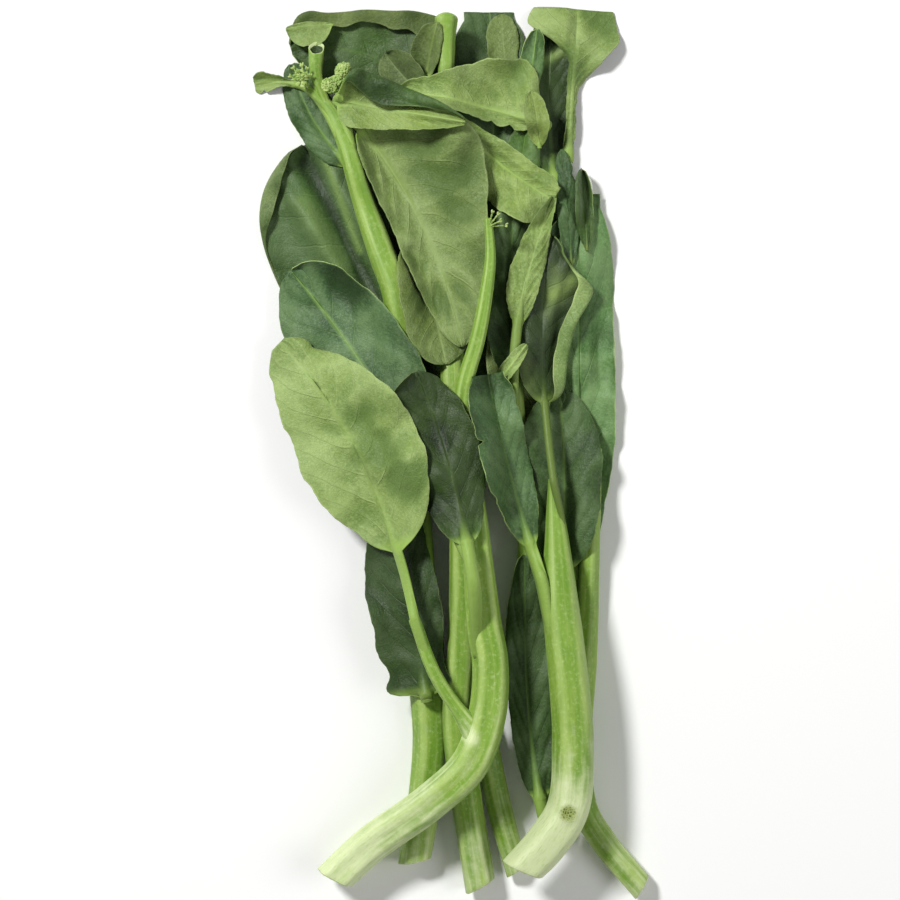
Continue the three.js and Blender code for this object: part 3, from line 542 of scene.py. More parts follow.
class LeafPlan:
    """The plan of one leaf: where each row lies and how wide it is, for any row number."""

    def __init__(self, leaf):
        self.leaf = leaf
        self.small = leaf.get("small", False)
        self.scale = SMALL_SCALE if self.small else 1.0
        self.rows = SMALL_ROWS if self.small else LARGE_ROWS
        self.stalk_rows = 1 if self.small else 2
        self.stalk = leaf.get("stalk", STALK_SHARE)
        self.slim = leaf.get("slim", 1)

    def place(self, row):
        return np.maximum(0, (row - self.stalk_rows) / (self.rows - self.stalk_rows))

    def along(self, row):
        on_stalk = self.stalk * row / self.stalk_rows
        on_blade = self.stalk + (1 - self.stalk) * self.place(row)
        return np.where(row <= self.stalk_rows, on_stalk, on_blade)

    def widths(self, row):
        """Half widths to the left and right at a row number, in millimetres."""
        into_tip = row - (self.rows - 1)
        if "shape" in self.leaf and 0 < into_tip < 1:
            before, tip = self.widths(self.rows - 1), self.widths(self.rows)
            return tuple(a + (b - a) * into_tip ** 2 for a, b in zip(before, tip))
        place = float(self.place(row))
        on_blade = STALK_RADIUS * (1 - place) + TIP_HALF_WIDTH * place
        narrow = (STALK_RADIUS if row <= self.stalk_rows else on_blade) * self.scale * self.slim
        share = blade_share(place, self.leaf.get("widest", WIDEST), self.leaf.get("base", "round"),
                            self.leaf.get("tip", "round"))
        return tuple((narrow + max(0, self.leaf[side] - narrow) * share) * self.shape(side, row)
                     for side in ("left", "right"))

    def shape(self, side, row):
        """How much wider one side is than its even form."""
        values = self.leaf.get("shape", {}).get(side)
        if not values:
            return 1
        if row >= self.rows:
            return values[-1]
        before_tip = values[:-1] + values[-2:-1]
        return read_list(before_tip, (row - self.stalk_rows) / (len(values) - 1), start=1)


def plan_points(points, directions, across):
    """Plan points at a signed distance across the midrib, positive to the right."""
    return np.stack([points[:, 0] + directions[:, 1] * across,
                     points[:, 1] - directions[:, 0] * across], axis=1)


# Heights of a leaf

def node_points(name):
    """The vertices of a solid, in the plan's millimetres."""
    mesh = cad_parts[name].data
    points = np.empty(len(mesh.vertices) * 3)
    mesh.vertices.foreach_get("co", points)
    points = points.reshape(-1, 3) / MM
    points[:, 0] += CENTRE[0]
    points[:, 1] += CENTRE[1]
    return points


def control_heights(name, plan):
    """Height of the middle of the blade at each row and at the edges, sides and midrib."""
    vertices = node_points(name)
    rows = np.arange(plan.rows + 1)
    points, directions = midrib(plan.leaf["line"], plan.along(rows))
    widths = np.array([plan.widths(int(row)) for row in rows])
    heights = []
    for share in (-1, -SIDE_COLUMN, 0, SIDE_COLUMN, 1):
        width = widths[:, 0] if share < 0 else widths[:, 1]
        column = []
        for spot in plan_points(points, directions, share * width):
            distance = np.hypot(*(vertices[:, :2] - spot).T)
            near = vertices[distance < max(SAME_PLACE, distance.min() + 1e-4), 2]
            edge_of_fold = plan.leaf.get("fold") and abs(share) == 1
            on_top = plan.leaf["up"] == "dark" and not edge_of_fold
            column.append(near.max() - BLADE / 2 if on_top else near.min() + BLADE / 2)
        heights.append(column)
    return np.array(heights).T


def smooth_read(nodes, values, wanted):
    """Cubic interpolation through values at uneven nodes, along the first axis."""
    nodes = np.asarray(nodes, float)
    slopes = np.gradient(values, nodes, axis=0)
    k = np.clip(np.searchsorted(nodes, wanted, side="right") - 1, 0, len(nodes) - 2)
    span = nodes[k + 1] - nodes[k]
    s = ((wanted - nodes[k]) / span)[:, None]
    span = span[:, None]
    return ((2 * s ** 3 - 3 * s ** 2 + 1) * values[k] + (s ** 3 - 2 * s ** 2 + s) * span * slopes[k]
            + (3 * s ** 2 - 2 * s ** 3) * values[k + 1] + (s ** 3 - s ** 2) * span * slopes[k + 1])


def read_list(values, share, start=None):
    """A smooth reading of a list from 0 to 1; before 0 it runs back to a start value."""
    if share < 0 and start is not None:
        back = min(1, -share * (len(values) - 1))
        return values[0] + (start - values[0]) * back
    nodes = np.linspace(0, 1, len(values))
    return float(smooth_read(nodes, np.array(values, float)[:, None], np.array([share]))[0, 0])


class LeafSurface:
    """Heights at any row and share across."""

    def __init__(self, name, plan):
        self.plan = plan
        self.control = control_heights(name, plan)

    def row_heights(self, row):
        return smooth_read(range(self.plan.rows + 1), self.control, np.array([row]))[0]

    def heights(self, row, shares):
        nodes = (-1, -SIDE_COLUMN, 0, SIDE_COLUMN, 1)
        return smooth_read(nodes, self.row_heights(row)[:, None], np.clip(shares, -1, 1))[:, 0]


# Uneven surfaces

def field(x, y, seed):
    """A smooth uneven field with bumps about one unit apart, mostly between -1 and 1."""
    rng = random.Random(seed)
    total = 0
    for _ in range(FIELD_WAVES):
        angle = rng.uniform(0, math.pi)
        pace = rng.uniform(*FIELD_PACE) * math.pi
        phase = rng.uniform(0, 2 * math.pi)
        total = total + np.sin((x * math.cos(angle) + y * math.sin(angle)) * pace + phase)
    return total / math.sqrt(FIELD_WAVES)


def spread_out(values, reach):
    """The highest value within a few cells, blurred."""
    wide = values.copy()
    for axis in (0, 1):
        source = wide.copy()
        for step in range(-reach, reach + 1):
            wide = np.maximum(wide, shifted(source, step, axis))
    for axis in (0, 1):
        source = wide.copy()
        wide = sum(shifted(source, step, axis) for step in range(-reach, reach + 1)) / (2 * reach + 1)
    return wide


def shifted(values, step, axis):
    """The array moved along an axis, with its border repeated."""
    index = np.clip(np.arange(values.shape[axis]) + step, 0, values.shape[axis] - 1)
    return np.take(values, index, axis=axis)


class Heap:
    """The height of everything laid so far, over a grid of plan cells."""

    def __init__(self):
        self.cells = np.zeros((int(2 * MAP_HALF[0] / MAP_CELL), int(2 * MAP_HALF[1] / MAP_CELL)))

    def index(self, x, y):
        i = np.clip(((x + MAP_HALF[0]) / MAP_CELL).astype(int), 0, self.cells.shape[0] - 1)
        j = np.clip(((y + MAP_HALF[1]) / MAP_CELL).astype(int), 0, self.cells.shape[1] - 1)
        return i, j

    def under(self, points):
        """The highest cell at and next to each point."""
        wide = self.cells
        for axis in (0, 1):
            wide = np.maximum(wide, np.maximum(shifted(wide, 1, axis), shifted(wide, -1, axis)))
        return wide[self.index(points[..., 0], points[..., 1])]

    def add(self, grid, finer=4):
        """Raises the cells under a grid of surface points."""
        for axis in (0, 1):
            count = grid.shape[axis]
            wanted = np.linspace(0, count - 1, (count - 1) * finer + 1)
            low = np.clip(wanted.astype(int), 0, count - 2)
            share = (wanted - low).reshape((-1, 1, 1) if axis == 0 else (1, -1, 1))
            grid = np.take(grid, low, axis) * (1 - share) + np.take(grid, low + 1, axis) * share
        np.maximum.at(self.cells, self.index(grid[..., 0], grid[..., 1]), grid[..., 2])


# Fine leaf

def side_name(side):
    return "left" if side < 0 else "right"


def waves_at(place, phase, waves):
    """A sum of sine waves along an edge, each given by its pace and strength."""
    return sum(strength * math.sin(place * pace + (k + 1) * phase)
               for k, (pace, strength) in enumerate(waves))


def ragged(seed, place, side):
    """A slow uneven wave along an edge, between -1 and 1."""
    return waves_at(place, seed * 1.7 + (2.1 if side > 0 else 0), RAGGED_WAVES) / RAGGED_PEAK


def teeth(seed, place, side):
    """A fine uneven edge."""
    return waves_at(place, seed * 0.9 + side, TOOTH_WAVES)


def stalk_share(places):
    """1 on the stalk, fading to 0 along the first stretch of the blade."""
    return np.clip(1 - places * STALK_FADE, 0, 1)


def wing(count):
    """Shares from the rib to the edge, closer together near the edge."""
    return 1 - (1 - np.linspace(0, 1, count + 1)[1:]) ** WING_POWER


class FineLeaf:
    """The grid of one leaf: rows along the midrib, columns across it."""

    def __init__(self, name, leaf, seed):
        self.name = name
        self.leaf = leaf
        self.seed = seed
        self.plan = LeafPlan(leaf)
        self.surface = LeafSurface(name, self.plan)
        self.pale_up = leaf["up"] == "pale"
        length = np.hypot(*np.subtract(leaf["line"][2], leaf["line"][0]))
        count = int(max(ROWS_LEAST, length * ROWS_PER_MM))
        rows = [self.row(row) for row in np.linspace(0, self.plan.rows, count)]
        self.middle, self.thin, self.rounding, self.across, self.shares, self.ribness = (
            np.array([row[k] for row in rows]) for k in range(6))
        self.places = np.array([row[6] for row in rows])
        self.flap = rows[0][7]
        self.crest = np.zeros(self.across.shape)
        self.add_relief()

    def bites(self, place, side):
        """How deep the torn notches of one edge are at a place."""
        return sum(depth * math.exp(-((place - spot) / reach) ** 2)
                   for edge, spot, depth, reach in self.leaf.get("notches", []) if edge == side_name(side))

    def row(self, row):
        plan, leaf = self.plan, self.leaf
        place = float(plan.place(row))
        widths = plan.widths(row)
        rib = RIB_BASE * math.exp(-RIB_FADE * place) + RIB_BLADE * (1 - place) + RIB_TIP
        rib = min(rib * plan.scale * plan.slim, min(widths) * RIB_WIDEST)
        point, direction = midrib(leaf["line"], [float(plan.along(row))])
        left, right = (self.side(side, place, widths, rib, row) for side in (-1, 1))
        bars = np.linspace(-1, 1, RIB_COLUMNS + 2)[1:-1]
        rib_across = rib * bars
        rib_high = self.surface.heights(row, rib_across / np.where(bars < 0, widths[0], widths[1]))
        across = np.concatenate([-left[0][::-1], rib_across, right[0]])
        high = np.concatenate([left[1][::-1], rib_high, right[1]])
        shares = np.concatenate([-left[2][::-1], np.zeros(len(bars)), right[2]])
        roundness = np.sqrt(1 - bars ** 2)
        ribness = np.concatenate([np.zeros(len(left[0])), roundness, np.zeros(len(right[0]))])
        flap = np.concatenate([left[3][::-1], np.zeros(len(bars), bool), right[3]])
        points = np.repeat(point, len(across), 0)
        plan_xy = plan_points(points, np.repeat(direction, len(across), 0), across)
        edge = np.clip((np.abs(shares) - RIM_START) / RIM_WIDTH, 0, 1)
        thin = BLADE_HALF + (RIM_HALF - BLADE_HALF) * edge
        middle = np.column_stack([plan_xy, high])
        return middle, thin, rib * RIB_HEIGHT * ribness, across, shares, ribness, place, flap

    def side(self, side, place, widths, rib, row):
        """Across, height, blade share and flap mark of one side's columns, from the rib out."""
        width = widths[0] if side < 0 else widths[1]
        open_blade = min(1, place * EDGE_STARTS) * min(1, (1 - place) * EDGE_ENDS)
        fold_side, flap_share = self.leaf.get("fold", (None, 0))
        shares = wing(WING_COLUMNS)
        if fold_side != side_name(side):
            wave = (RAGGED * self.leaf[side_name(side)] * ragged(self.seed, place, side)
                    + TOOTH * self.plan.scale * teeth(self.seed, place, side)) * open_blade
            reach = max(rib * BLADE_LEAST, width + wave - self.bites(place, side))
            across = rib + (reach - rib) * shares
            high = self.surface.heights(row, side * across / width)
            return across, high, shares, np.zeros(len(shares), bool)
        flap_form = read_list(self.leaf.get("flap", (1, 1, 1)), place)
        opening = min(1, max(ROLL_LEAST, flap_form * 2))
        radius = min((FOLD_OPENING + BLADE) / 2, width * ROLL_SHARE) * opening
        inner = max(rib, width - radius)
        across = rib + (inner - rib) * shares
        high = self.surface.heights(row, side * across / width)
        turn = np.linspace(-math.pi / 2, math.pi / 2, HAIRPIN_COLUMNS + 2)[1:-1]
        pin_across = inner + radius * np.cos(turn)
        pin_high = high[-1] + radius * (1 + np.sin(turn))
        flap_width = (width * flap_share * min(1, width / FOLD_NARROW) * flap_form
                      * (1 + self.leaf.get("uneven", FLAP_UNEVEN) * ragged(self.seed, place, side)))
        back = inner - max(FLAP_LEAST, flap_width - radius) * wing(FLAP_COLUMNS)
        back_high = (self.surface.heights(row, side * back / width) + 2 * radius
                     + (inner - back) * FLAP_RISE)
        blade_shares = np.concatenate([
            shares * FOLDED_SHARE, np.full(len(turn), ROLL_PLACE),
            FLAP_START + FLAP_SPAN * wing(FLAP_COLUMNS),
        ])
        on_flap = np.arange(len(blade_shares)) >= len(shares)
        return (np.concatenate([across, pin_across, back]), np.concatenate([high, pin_high, back_high]),
                blade_shares, on_flap)

    def add_relief(self):
        """Folds, crumples and waves, measured along and across the leaf in the plan."""
        leaf, scale = self.leaf, self.plan.scale
        spine = self.middle[:, self.middle.shape[1] // 2, :2]
        run = np.concatenate([[0], np.cumsum(np.hypot(*np.diff(spine, axis=0).T))])[:, None]
        blade = np.clip(self.places * RELIEF_STARTS, 0, 1)[:, None]
        share = np.clip(np.abs(self.across) / max(leaf["left"], leaf["right"]), 0, 1)
        loose = blade * (RELIEF_ON_RIB + (1 - RELIEF_ON_RIB) * np.clip(share * RELIEF_SPREADS, 0, 1))
        depth = FOLD_DEPTH * leaf.get("folds", 1) * scale
        relief = depth * field(run / FOLD_LENGTH, self.across / FOLD_WIDTH, self.seed)
        size = CRUMPLE_SIZE * scale
        small = (CRUMPLE_DEPTH * scale * leaf.get("crumple", 1)
                 * field(run / size, self.across / size, self.seed + CRUMPLE_SEED))
        sharp = np.abs(field(run / CREASE_SIZE, self.across / CREASE_SIZE, self.seed + CREASE_SEED))
        small = small + CREASE_DEPTH * scale * leaf.get("crumple", 1) * (CREASE_MEAN - sharp)
        for *ends, depth, width in leaf.get("creases", []):
            small = small + depth / (1 + (self.away_from(run, ends) / width) ** 2)
        # Painted highlights along given lines, and painted shade where a strength is negative
        self.light = np.zeros(self.across.shape)
        for *ends, strength, width in leaf.get("lights", []):
            self.light += strength * np.exp(-(self.away_from(run, ends) / width) ** 2)
        relief = relief + small + PUCKER_DEPTH * field(
            run / PUCKER_SIZE, self.across / PUCKER_SIZE, self.seed + PUCKER_SEED)
        edge = np.where(self.flap, 0, np.abs(self.shares)) ** 3
        side = np.sign(self.shares)
        wave = field(run / WAVE_LENGTH, side * 3 + run * 0, self.seed + WAVE_SEED)
        ripple = field(run / RIPPLE_LENGTH, side * 5 + run * 0, self.seed + RIPPLE_SEED)
        relief = relief + EDGE_WAVE * scale * edge * wave + EDGE_RIPPLE * scale * edge ** 2 * ripple
        self.middle[:, :, 2] += relief * loose
        quilt = quilting(self.places[:, None], self.shares) * blade * scale * QUILT * leaf.get("quilt", 1)
        quilt = quilt * (-1 if self.pale_up else 1)
        self.middle[:, :, 2] += quilt
        # How far the blade rises over its small folds and quilting, from -1 in a valley to 1 on a crest, for
        # painted shade in the valleys and a painted highlight on the crests
        self.crest = np.clip((small + 2 * (quilt - quilt.mean())) * blade / CREST_HEIGHT, -1, 1)

    def away_from(self, run, ends):
        """Distance from a line between two points, given as place and share across."""
        place_a, share_a, place_b, share_b = ends
        reach = max(self.leaf["left"], self.leaf["right"])
        spots = np.interp([place_a, place_b], self.places, run[:, 0])
        ends = [np.array([spots[0], share_a * reach]), np.array([spots[1], share_b * reach])]
        line = ends[1] - ends[0]
        away_along, away_across = run - ends[0][0], self.across - ends[0][1]
        t = np.clip((away_along * line[0] + away_across * line[1]) / (line @ line), 0, 1)
        return np.hypot(away_along - t * line[0], away_across - t * line[1])

    def lay(self, heap):
        """Lifts the leaf clear of what lies below, and adds it to the heap."""
        below = np.maximum(self.thin, self.rounding)
        need = heap.under(self.middle) + CLEARANCE + below - self.middle[:, :, 2]
        need[:, self.flap] = 0
        need = np.maximum(0, need)
        lift = np.maximum(need, spread_out(need, 2))
        sheet = ~self.flap
        for across, row in zip(self.across, lift):
            order = np.argsort(across[sheet])
            row[self.flap] = np.interp(across[self.flap], across[sheet][order], row[sheet][order])
        self.middle[:, :, 2] += lift
        heap.add(self.middle + np.array([0, 0, BLADE_HALF]))

    def faces(self):
        """Upper and lower surfaces, with the midrib raised on the pale side."""
        normals = grid_normals(self.middle)
        if np.mean(normals[:, self.shares.shape[1] // 2, 2]) < 0:
            normals = -normals
        flush = self.rounding * np.maximum(stalk_share(self.places), RIB_FLUSH)[:, None]
        top_round, low_round = (self.rounding, flush) if self.pale_up else (flush, self.rounding)
        upper = self.middle + normals * np.maximum(self.thin, top_round)[:, :, None]
        lower = self.middle - normals * np.maximum(self.thin, low_round)[:, :, None]
        return upper, lower

    def build(self, paths, materials):
        upper, lower = self.faces()
        if self.leaf.get("root", True):
            upper, lower = with_root(upper, lower, paths, self.leaf.get("head_on", False))
        added = len(upper) - len(self.places)
        warm, shade = self.leaf["tone"]
        stalk = stalk_share(self.places)[:, None]
        # Painted light and shade: the leaf's brightness with its painted highlights, the painted shade of
        # its flap and its stalk, and the warmer colour of its highlights
        lit = np.maximum(self.light, 0)
        shades = np.where(self.flap, self.leaf.get("flap_shade", shade), shade) + self.light
        shades = shades - LIT_TAKEN * lit
        shades = shades + (self.leaf.get("stalk_shade", 0.5) - shades) * stalk
        warms = np.clip(warm + LIGHT_WARMS * self.light, 0, 1)
        warms = np.where(self.flap, self.leaf.get("flap_warm", warm), warms)
        ribs = self.ribness * (self.leaf.get("rib", 1) * (1 - stalk) + stalk)
        places, shares, ribs, crest, shades, warms, lit = (
            np.concatenate([np.repeat(values[:1], added, 0), values])
            for values in (self.places, self.shares, ribs, self.crest, shades, warms, lit))
        mesh = sheet_mesh(self.name, upper, lower, places, shares, ribs)
        paint(mesh, "lit", np.tile(np.clip(lit.ravel() * LIT_SHARE, 0, 1), 2))
        paint(mesh, "crest", np.concatenate([crest.ravel(), -crest.ravel()]))
        paint(mesh, "warm", np.tile(warms.ravel(), 2))
        paint(mesh, "shade", np.tile(shades.ravel(), 2))
        top, bottom = ("pale", "dark") if self.pale_up else ("dark", "pale")
        for side in (top, bottom):
            mesh.materials.append(materials[f"leaf_{side}"])
        piece = add_object(f"fine_{self.name}", mesh)
        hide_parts(self.name)
        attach(piece, "root")


# Meshes

def add_object(name, data):
    """Puts an object in the scene."""
    made = bpy.data.objects.new(name, data)
    bpy.context.collection.objects.link(made)
    return made


def on_table(points):
    """Plan points as the scene's own, in metres, with none under the table."""
    points = points.reshape(-1, 3) - np.array([*CENTRE, 0])
    points[:, 2] = np.maximum(points[:, 2], OFF_TABLE)
    return (points * MM).tolist()


def closed_mesh(name, points, faces, slots):
    """A smooth closed mesh whose faces point out, with a material slot for each face."""
    mesh = bpy.data.meshes.new(name)
    mesh.from_pydata(points, [], faces)
    if mesh_volume(mesh) < 0:
        mesh.flip_normals()
    mesh.polygons.foreach_set("material_index", slots)
    mesh.polygons.foreach_set("use_smooth", np.ones(len(faces), bool))
    return mesh


def mesh_volume(mesh):
    """Six times the signed volume, positive when the faces point out."""
    mesh.calc_loop_triangles()
    points = np.empty(len(mesh.vertices) * 3)
    mesh.vertices.foreach_get("co", points)
    points = points.reshape(-1, 3)
    corners = np.empty(len(mesh.loop_triangles) * 3, int)
    mesh.loop_triangles.foreach_get("vertices", corners)
    a, b, c = (points[corners.reshape(-1, 3)[:, k]] for k in range(3))
    return float(np.einsum("ij,ij->i", a, np.cross(b, c)).sum())


def unwrap(mesh, name, places):
    """A map on which every corner of the mesh has the place of its vertex."""
    corners = np.empty(len(mesh.loops), int)
    mesh.loops.foreach_get("vertex_index", corners)
    mesh.uv_layers.new(name=name).data.foreach_set("uv", places[corners].ravel())


def paint(mesh, name, values):
    """Keeps a number for each vertex, for the materials to read."""
    layer = mesh.attributes.new(name, "FLOAT", "POINT")
    layer.data.foreach_set("value", np.asarray(values, float))


# Surface of a leaf

def grid_normals(points):
    """Unit normals of a grid of points."""
    down = np.gradient(points, axis=0)
    over = np.gradient(points, axis=1)
    normals = np.cross(over, down)
    length = np.linalg.norm(normals, axis=2)[:, :, None]
    return normals / np.maximum(length, 1e-9)


def quilting(places, shares):
    """Height of the blade between its side veins: 0 on a vein, 1 half way to the next."""
    spread = np.abs(shares)
    side = np.where(shares < 0, 0.5, 0)
    phase = places * VEIN_PAIRS - VEIN_RAKE * spread ** VEIN_POWER + side
    return np.abs(np.sin(math.pi * phase)) ** QUILT_POWER * np.clip(spread * 4, 0, 1) * (1 - spread ** 3)


def sheet_mesh(name, upper, lower, places, shares, ribness):
    """A closed sheet with its top faces in slot 0 and its underside and rim in slot 1."""
    rows, columns = upper.shape[:2]
    index = np.arange(rows * columns).reshape(rows, columns)
    a, b, c, d = (index[:-1, :-1].ravel(), index[:-1, 1:].ravel(), index[1:, 1:].ravel(),
                  index[1:, :-1].ravel())
    below = rows * columns
    top = np.stack([a, d, c, b], 1)
    bottom = np.stack([a, b, c, d], 1) + below
    loop = np.concatenate([index[0, :-1], index[:-1, -1], index[-1, :0:-1], index[:0:-1, 0]])
    after = np.roll(loop, -1)
    rim = np.stack([loop, after, after + below, loop + below], 1)
    faces = np.concatenate([top, bottom, rim])
    slots = (np.arange(len(faces)) >= len(top)).astype(int)
    mesh = closed_mesh(f"fine_{name}", on_table(np.concatenate([upper, lower])), faces.tolist(), slots)
    coords = np.stack([np.repeat(places, columns), shares.ravel() * 0.5 + 0.5], 1)
    unwrap(mesh, "blade", np.tile(coords, (2, 1)))
    paint(mesh, "rib", np.tile(ribness.ravel(), 2))
    paint(mesh, "stalk", np.tile(np.repeat(stalk_share(places), columns), 2))
    mesh.update()
    return mesh


# Roots of the stalks

def crown_height(path, spot):
    """The height of a stem's surface over a plan point, or of its centre line beside it."""
    away = np.hypot(path[:, 0] - spot[0], path[:, 1] - spot[1])
    k = int(away.argmin())
    return path[k, 2] + math.sqrt(max(path[k, 3] ** 2 - away[k] ** 2, 0))


def gaps_to(path, spot):
    """How far a point is from a stem's surface, at each step of its centre line."""
    return np.linalg.norm(path[:, :3] - spot, axis=1) - path[:, 3]


def unit(vector):
    return vector / np.linalg.norm(vector)


def ease(share):
    """A smooth step from 0 to 1."""
    return 3 * share ** 2 - 2 * share ** 3


def with_root(upper, lower, paths, head_on):
    """Adds rows that carry the stalk down into the side of the stem that it rests on, or into its end."""
    middles = (upper + lower) / 2
    centre = middles[0].mean(axis=0)
    gap, chosen = min((float(gaps_to(path, centre).min()), k) for k, path in enumerate(paths))
    if gap > ROOT_REACH:
        return upper, lower
    path = paths[chosen]
    k = int(gaps_to(path, centre).argmin())
    step = float(np.linalg.norm(path[1, :3] - path[0, :3]))
    length = ROOT_LENGTH + path[k, 3] + ROOT_STRETCH * max(0, gap)
    end = max(1, k - int(length / step))
    across = unit(np.array([path[end, 1] - path[end - 1, 1], path[end - 1, 0] - path[end, 0], 0]))
    flank = 0 if head_on else math.copysign(ROOT_FLANK * path[end, 3], (centre - path[k, :3]) @ across)
    goal = path[end, :3] + across * flank
    pull = np.linalg.norm(goal - centre)
    leave = unit(centre - middles[2].mean(axis=0)) * pull * ROOT_PULL
    arrive = unit(path[end - 1, :3] - path[end, :3]) * pull * ROOT_PULL
    stalk_radius = np.abs(upper[0] - centre).max()
    stalk_height = (upper[0] - centre)[:, 2].max()
    shrink = min(1.0, ROOT_SLIM * path[end, 3] / stalk_radius)
    rows = []
    for s in np.linspace(0, 1, ROOT_ROWS + 1)[1:]:
        gone = ease(s)
        middle = ((1 - gone) * centre + (s ** 3 - 2 * s ** 2 + s) * leave + gone * goal
                  + (s ** 3 - s ** 2) * arrive)
        rest = crown_height(path, middle) + stalk_height * ROOT_REST
        hugging = centre[2] + (rest - centre[2]) * ease(min(1, s / ROOT_SETTLE))
        middle[2] = min(centre[2] + (goal[2] - centre[2]) * gone, hugging)
        rows.append((middle, (1 + ROOT_FLARE * math.sin(math.pi * s)) * (1 + (shrink - 1) * s)))
    return tuple(np.concatenate([[middle + (face[0] - centre) * size for middle, size in rows[::-1]], face])
                 for face in (upper, lower))


# Stems

def through(points, step):
    """A centripetal curve through points, read at even steps."""
    points = np.array(points, float)
    padded = np.vstack([2 * points[0] - points[1], points, 2 * points[-1] - points[-2]])
    dense = []
    for k in range(1, len(padded) - 2):
        p = padded[k - 1:k + 3]
        knots = np.concatenate([[0], np.cumsum(np.linalg.norm(np.diff(p, axis=0), axis=1) ** 0.5)])
        t = np.linspace(knots[1], knots[2], CURVE_POINTS, endpoint=False)[:, None]
        blend = [p[i] + (p[i + 1] - p[i]) * (t - knots[i]) / (knots[i + 1] - knots[i]) for i in range(3)]
        pairs = [blend[i] + (blend[i + 1] - blend[i]) * (t - knots[i]) / (knots[i + 2] - knots[i])
                 for i in range(2)]
        dense.append(pairs[0] + (pairs[1] - pairs[0]) * (t - knots[1]) / (knots[2] - knots[1]))
    dense = np.vstack(dense + [points[-1:]])
    run = np.concatenate([[0], np.cumsum(np.linalg.norm(np.diff(dense[:, :2], axis=0), axis=1))])
    count = max(4, int(round(run[-1] / step)))
    wanted = np.linspace(0, run[-1], count + 1)
    return np.column_stack([np.interp(wanted, run, dense[:, k]) for k in range(dense.shape[1])])


def smoothed(values, reach):
    """A weighted running mean, for which the first and last values go on past the ends."""
    padded = np.concatenate([np.full(reach, values[0]), values, np.full(reach, values[-1])])
    kernel = np.hanning(2 * reach + 3)[1:-1]
    return np.convolve(padded, kernel / kernel.sum(), mode="valid")


def solid_tree(name):
    """A search tree of a solid, in the plan's millimetres."""
    faces = [tuple(face.vertices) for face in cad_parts[name].data.polygons]
    return BVHTree.FromPolygons([tuple(point) for point in node_points(name)], faces)


def underside(tree, x, y):
    """The lowest point of a solid over a plan point, or None."""
    return tree.ray_cast(Vector((x, y, RAY_LOW)), Vector((0, 0, 1)))[0]


def middle_height(tree, x, y):
    """Half way between a solid's top and its underside over a plan point, or None."""
    top = tree.ray_cast(Vector((x, y, RAY_TOP)), Vector((0, 0, -1)))[0]
    low = underside(tree, x, y)
    return (top.z + low.z) / 2 if top and low else None


def low_middle(tree, x, y, radius):
    """A stem's centre height over a plan point, from its underside, or None."""
    low = underside(tree, x, y)
    return low.z + radius * STEM_DEPTH if low else None


def stem_centre(name):
    """The fine centre line of a stem: x, y, z and radius in the plan's millimetres.

    Near the cut a ray meets the slanted end instead of the underside, so the heights there
    repeat the first one that is clear of it.
    """
    line = through(STEMS[name]["points"], STEM_STEP)
    tree = solid_tree(name)
    clear = int(line[0, 2] * CUT_CLEAR / STEM_STEP)
    found = [(k, low_middle(tree, *line[k])) for k in range(clear, len(line))]
    known = [(k, height) for k, height in found if height is not None]
    heights = np.interp(range(len(line)), [k for k, _ in known], [height for _, height in known])
    return np.column_stack([line[:, 0], line[:, 1], smoothed(heights, HEIGHT_REACH), line[:, 2]])


def branch_centre(branch, tree, parent):
    """The fine centre line of a side shoot, from inside its stem to its end."""
    first = branch["line"][0]
    root = parent[np.hypot(parent[:, 0] - first[0], parent[:, 1] - first[1]).argmin(), 2]
    control = []
    for k, (x, y) in enumerate(branch["line"]):
        height = middle_height(tree, x, y) if k else None
        control.append((x, y, branch["radii"][k], height if height else root + branch["rise"][k]))
    line = through(control, BRANCH_STEP)
    share = np.linspace(0, 1, len(line))
    flare = 1 + branch.get("flare", BRANCH_FLARE) * np.clip(1 - share * FLARE_FADE, 0, 1) ** 2
    return np.column_stack([line[:, 0], line[:, 1], line[:, 3], line[:, 2] * flare])


def raised(path, heap, held=0):
    """The centre line lifted, gently along its length, off what lies below."""
    path = path.copy()
    need = np.zeros(len(path))
    along = np.gradient(path[:, :2], axis=0)
    along /= np.hypot(*along.T)[:, None]
    for share in LOW_SHARES:
        out = path[:, 3] * share
        spots = np.column_stack([path[:, 0] + along[:, 1] * out, path[:, 1] - along[:, 0] * out])
        low = path[:, 2] - path[:, 3] * math.sqrt(1 - share ** 2)
        need = np.maximum(need, heap.under(spots) + CLEARANCE / 2 - low)
    need[:held] = 0
    wide = need.copy()
    for step in range(-LIFT_STEPS, LIFT_STEPS + 1):
        wide = np.maximum(wide, shifted(need, step, 0))
    path[:, 2] += smoothed(wide, LIFT_REACH)
    return path


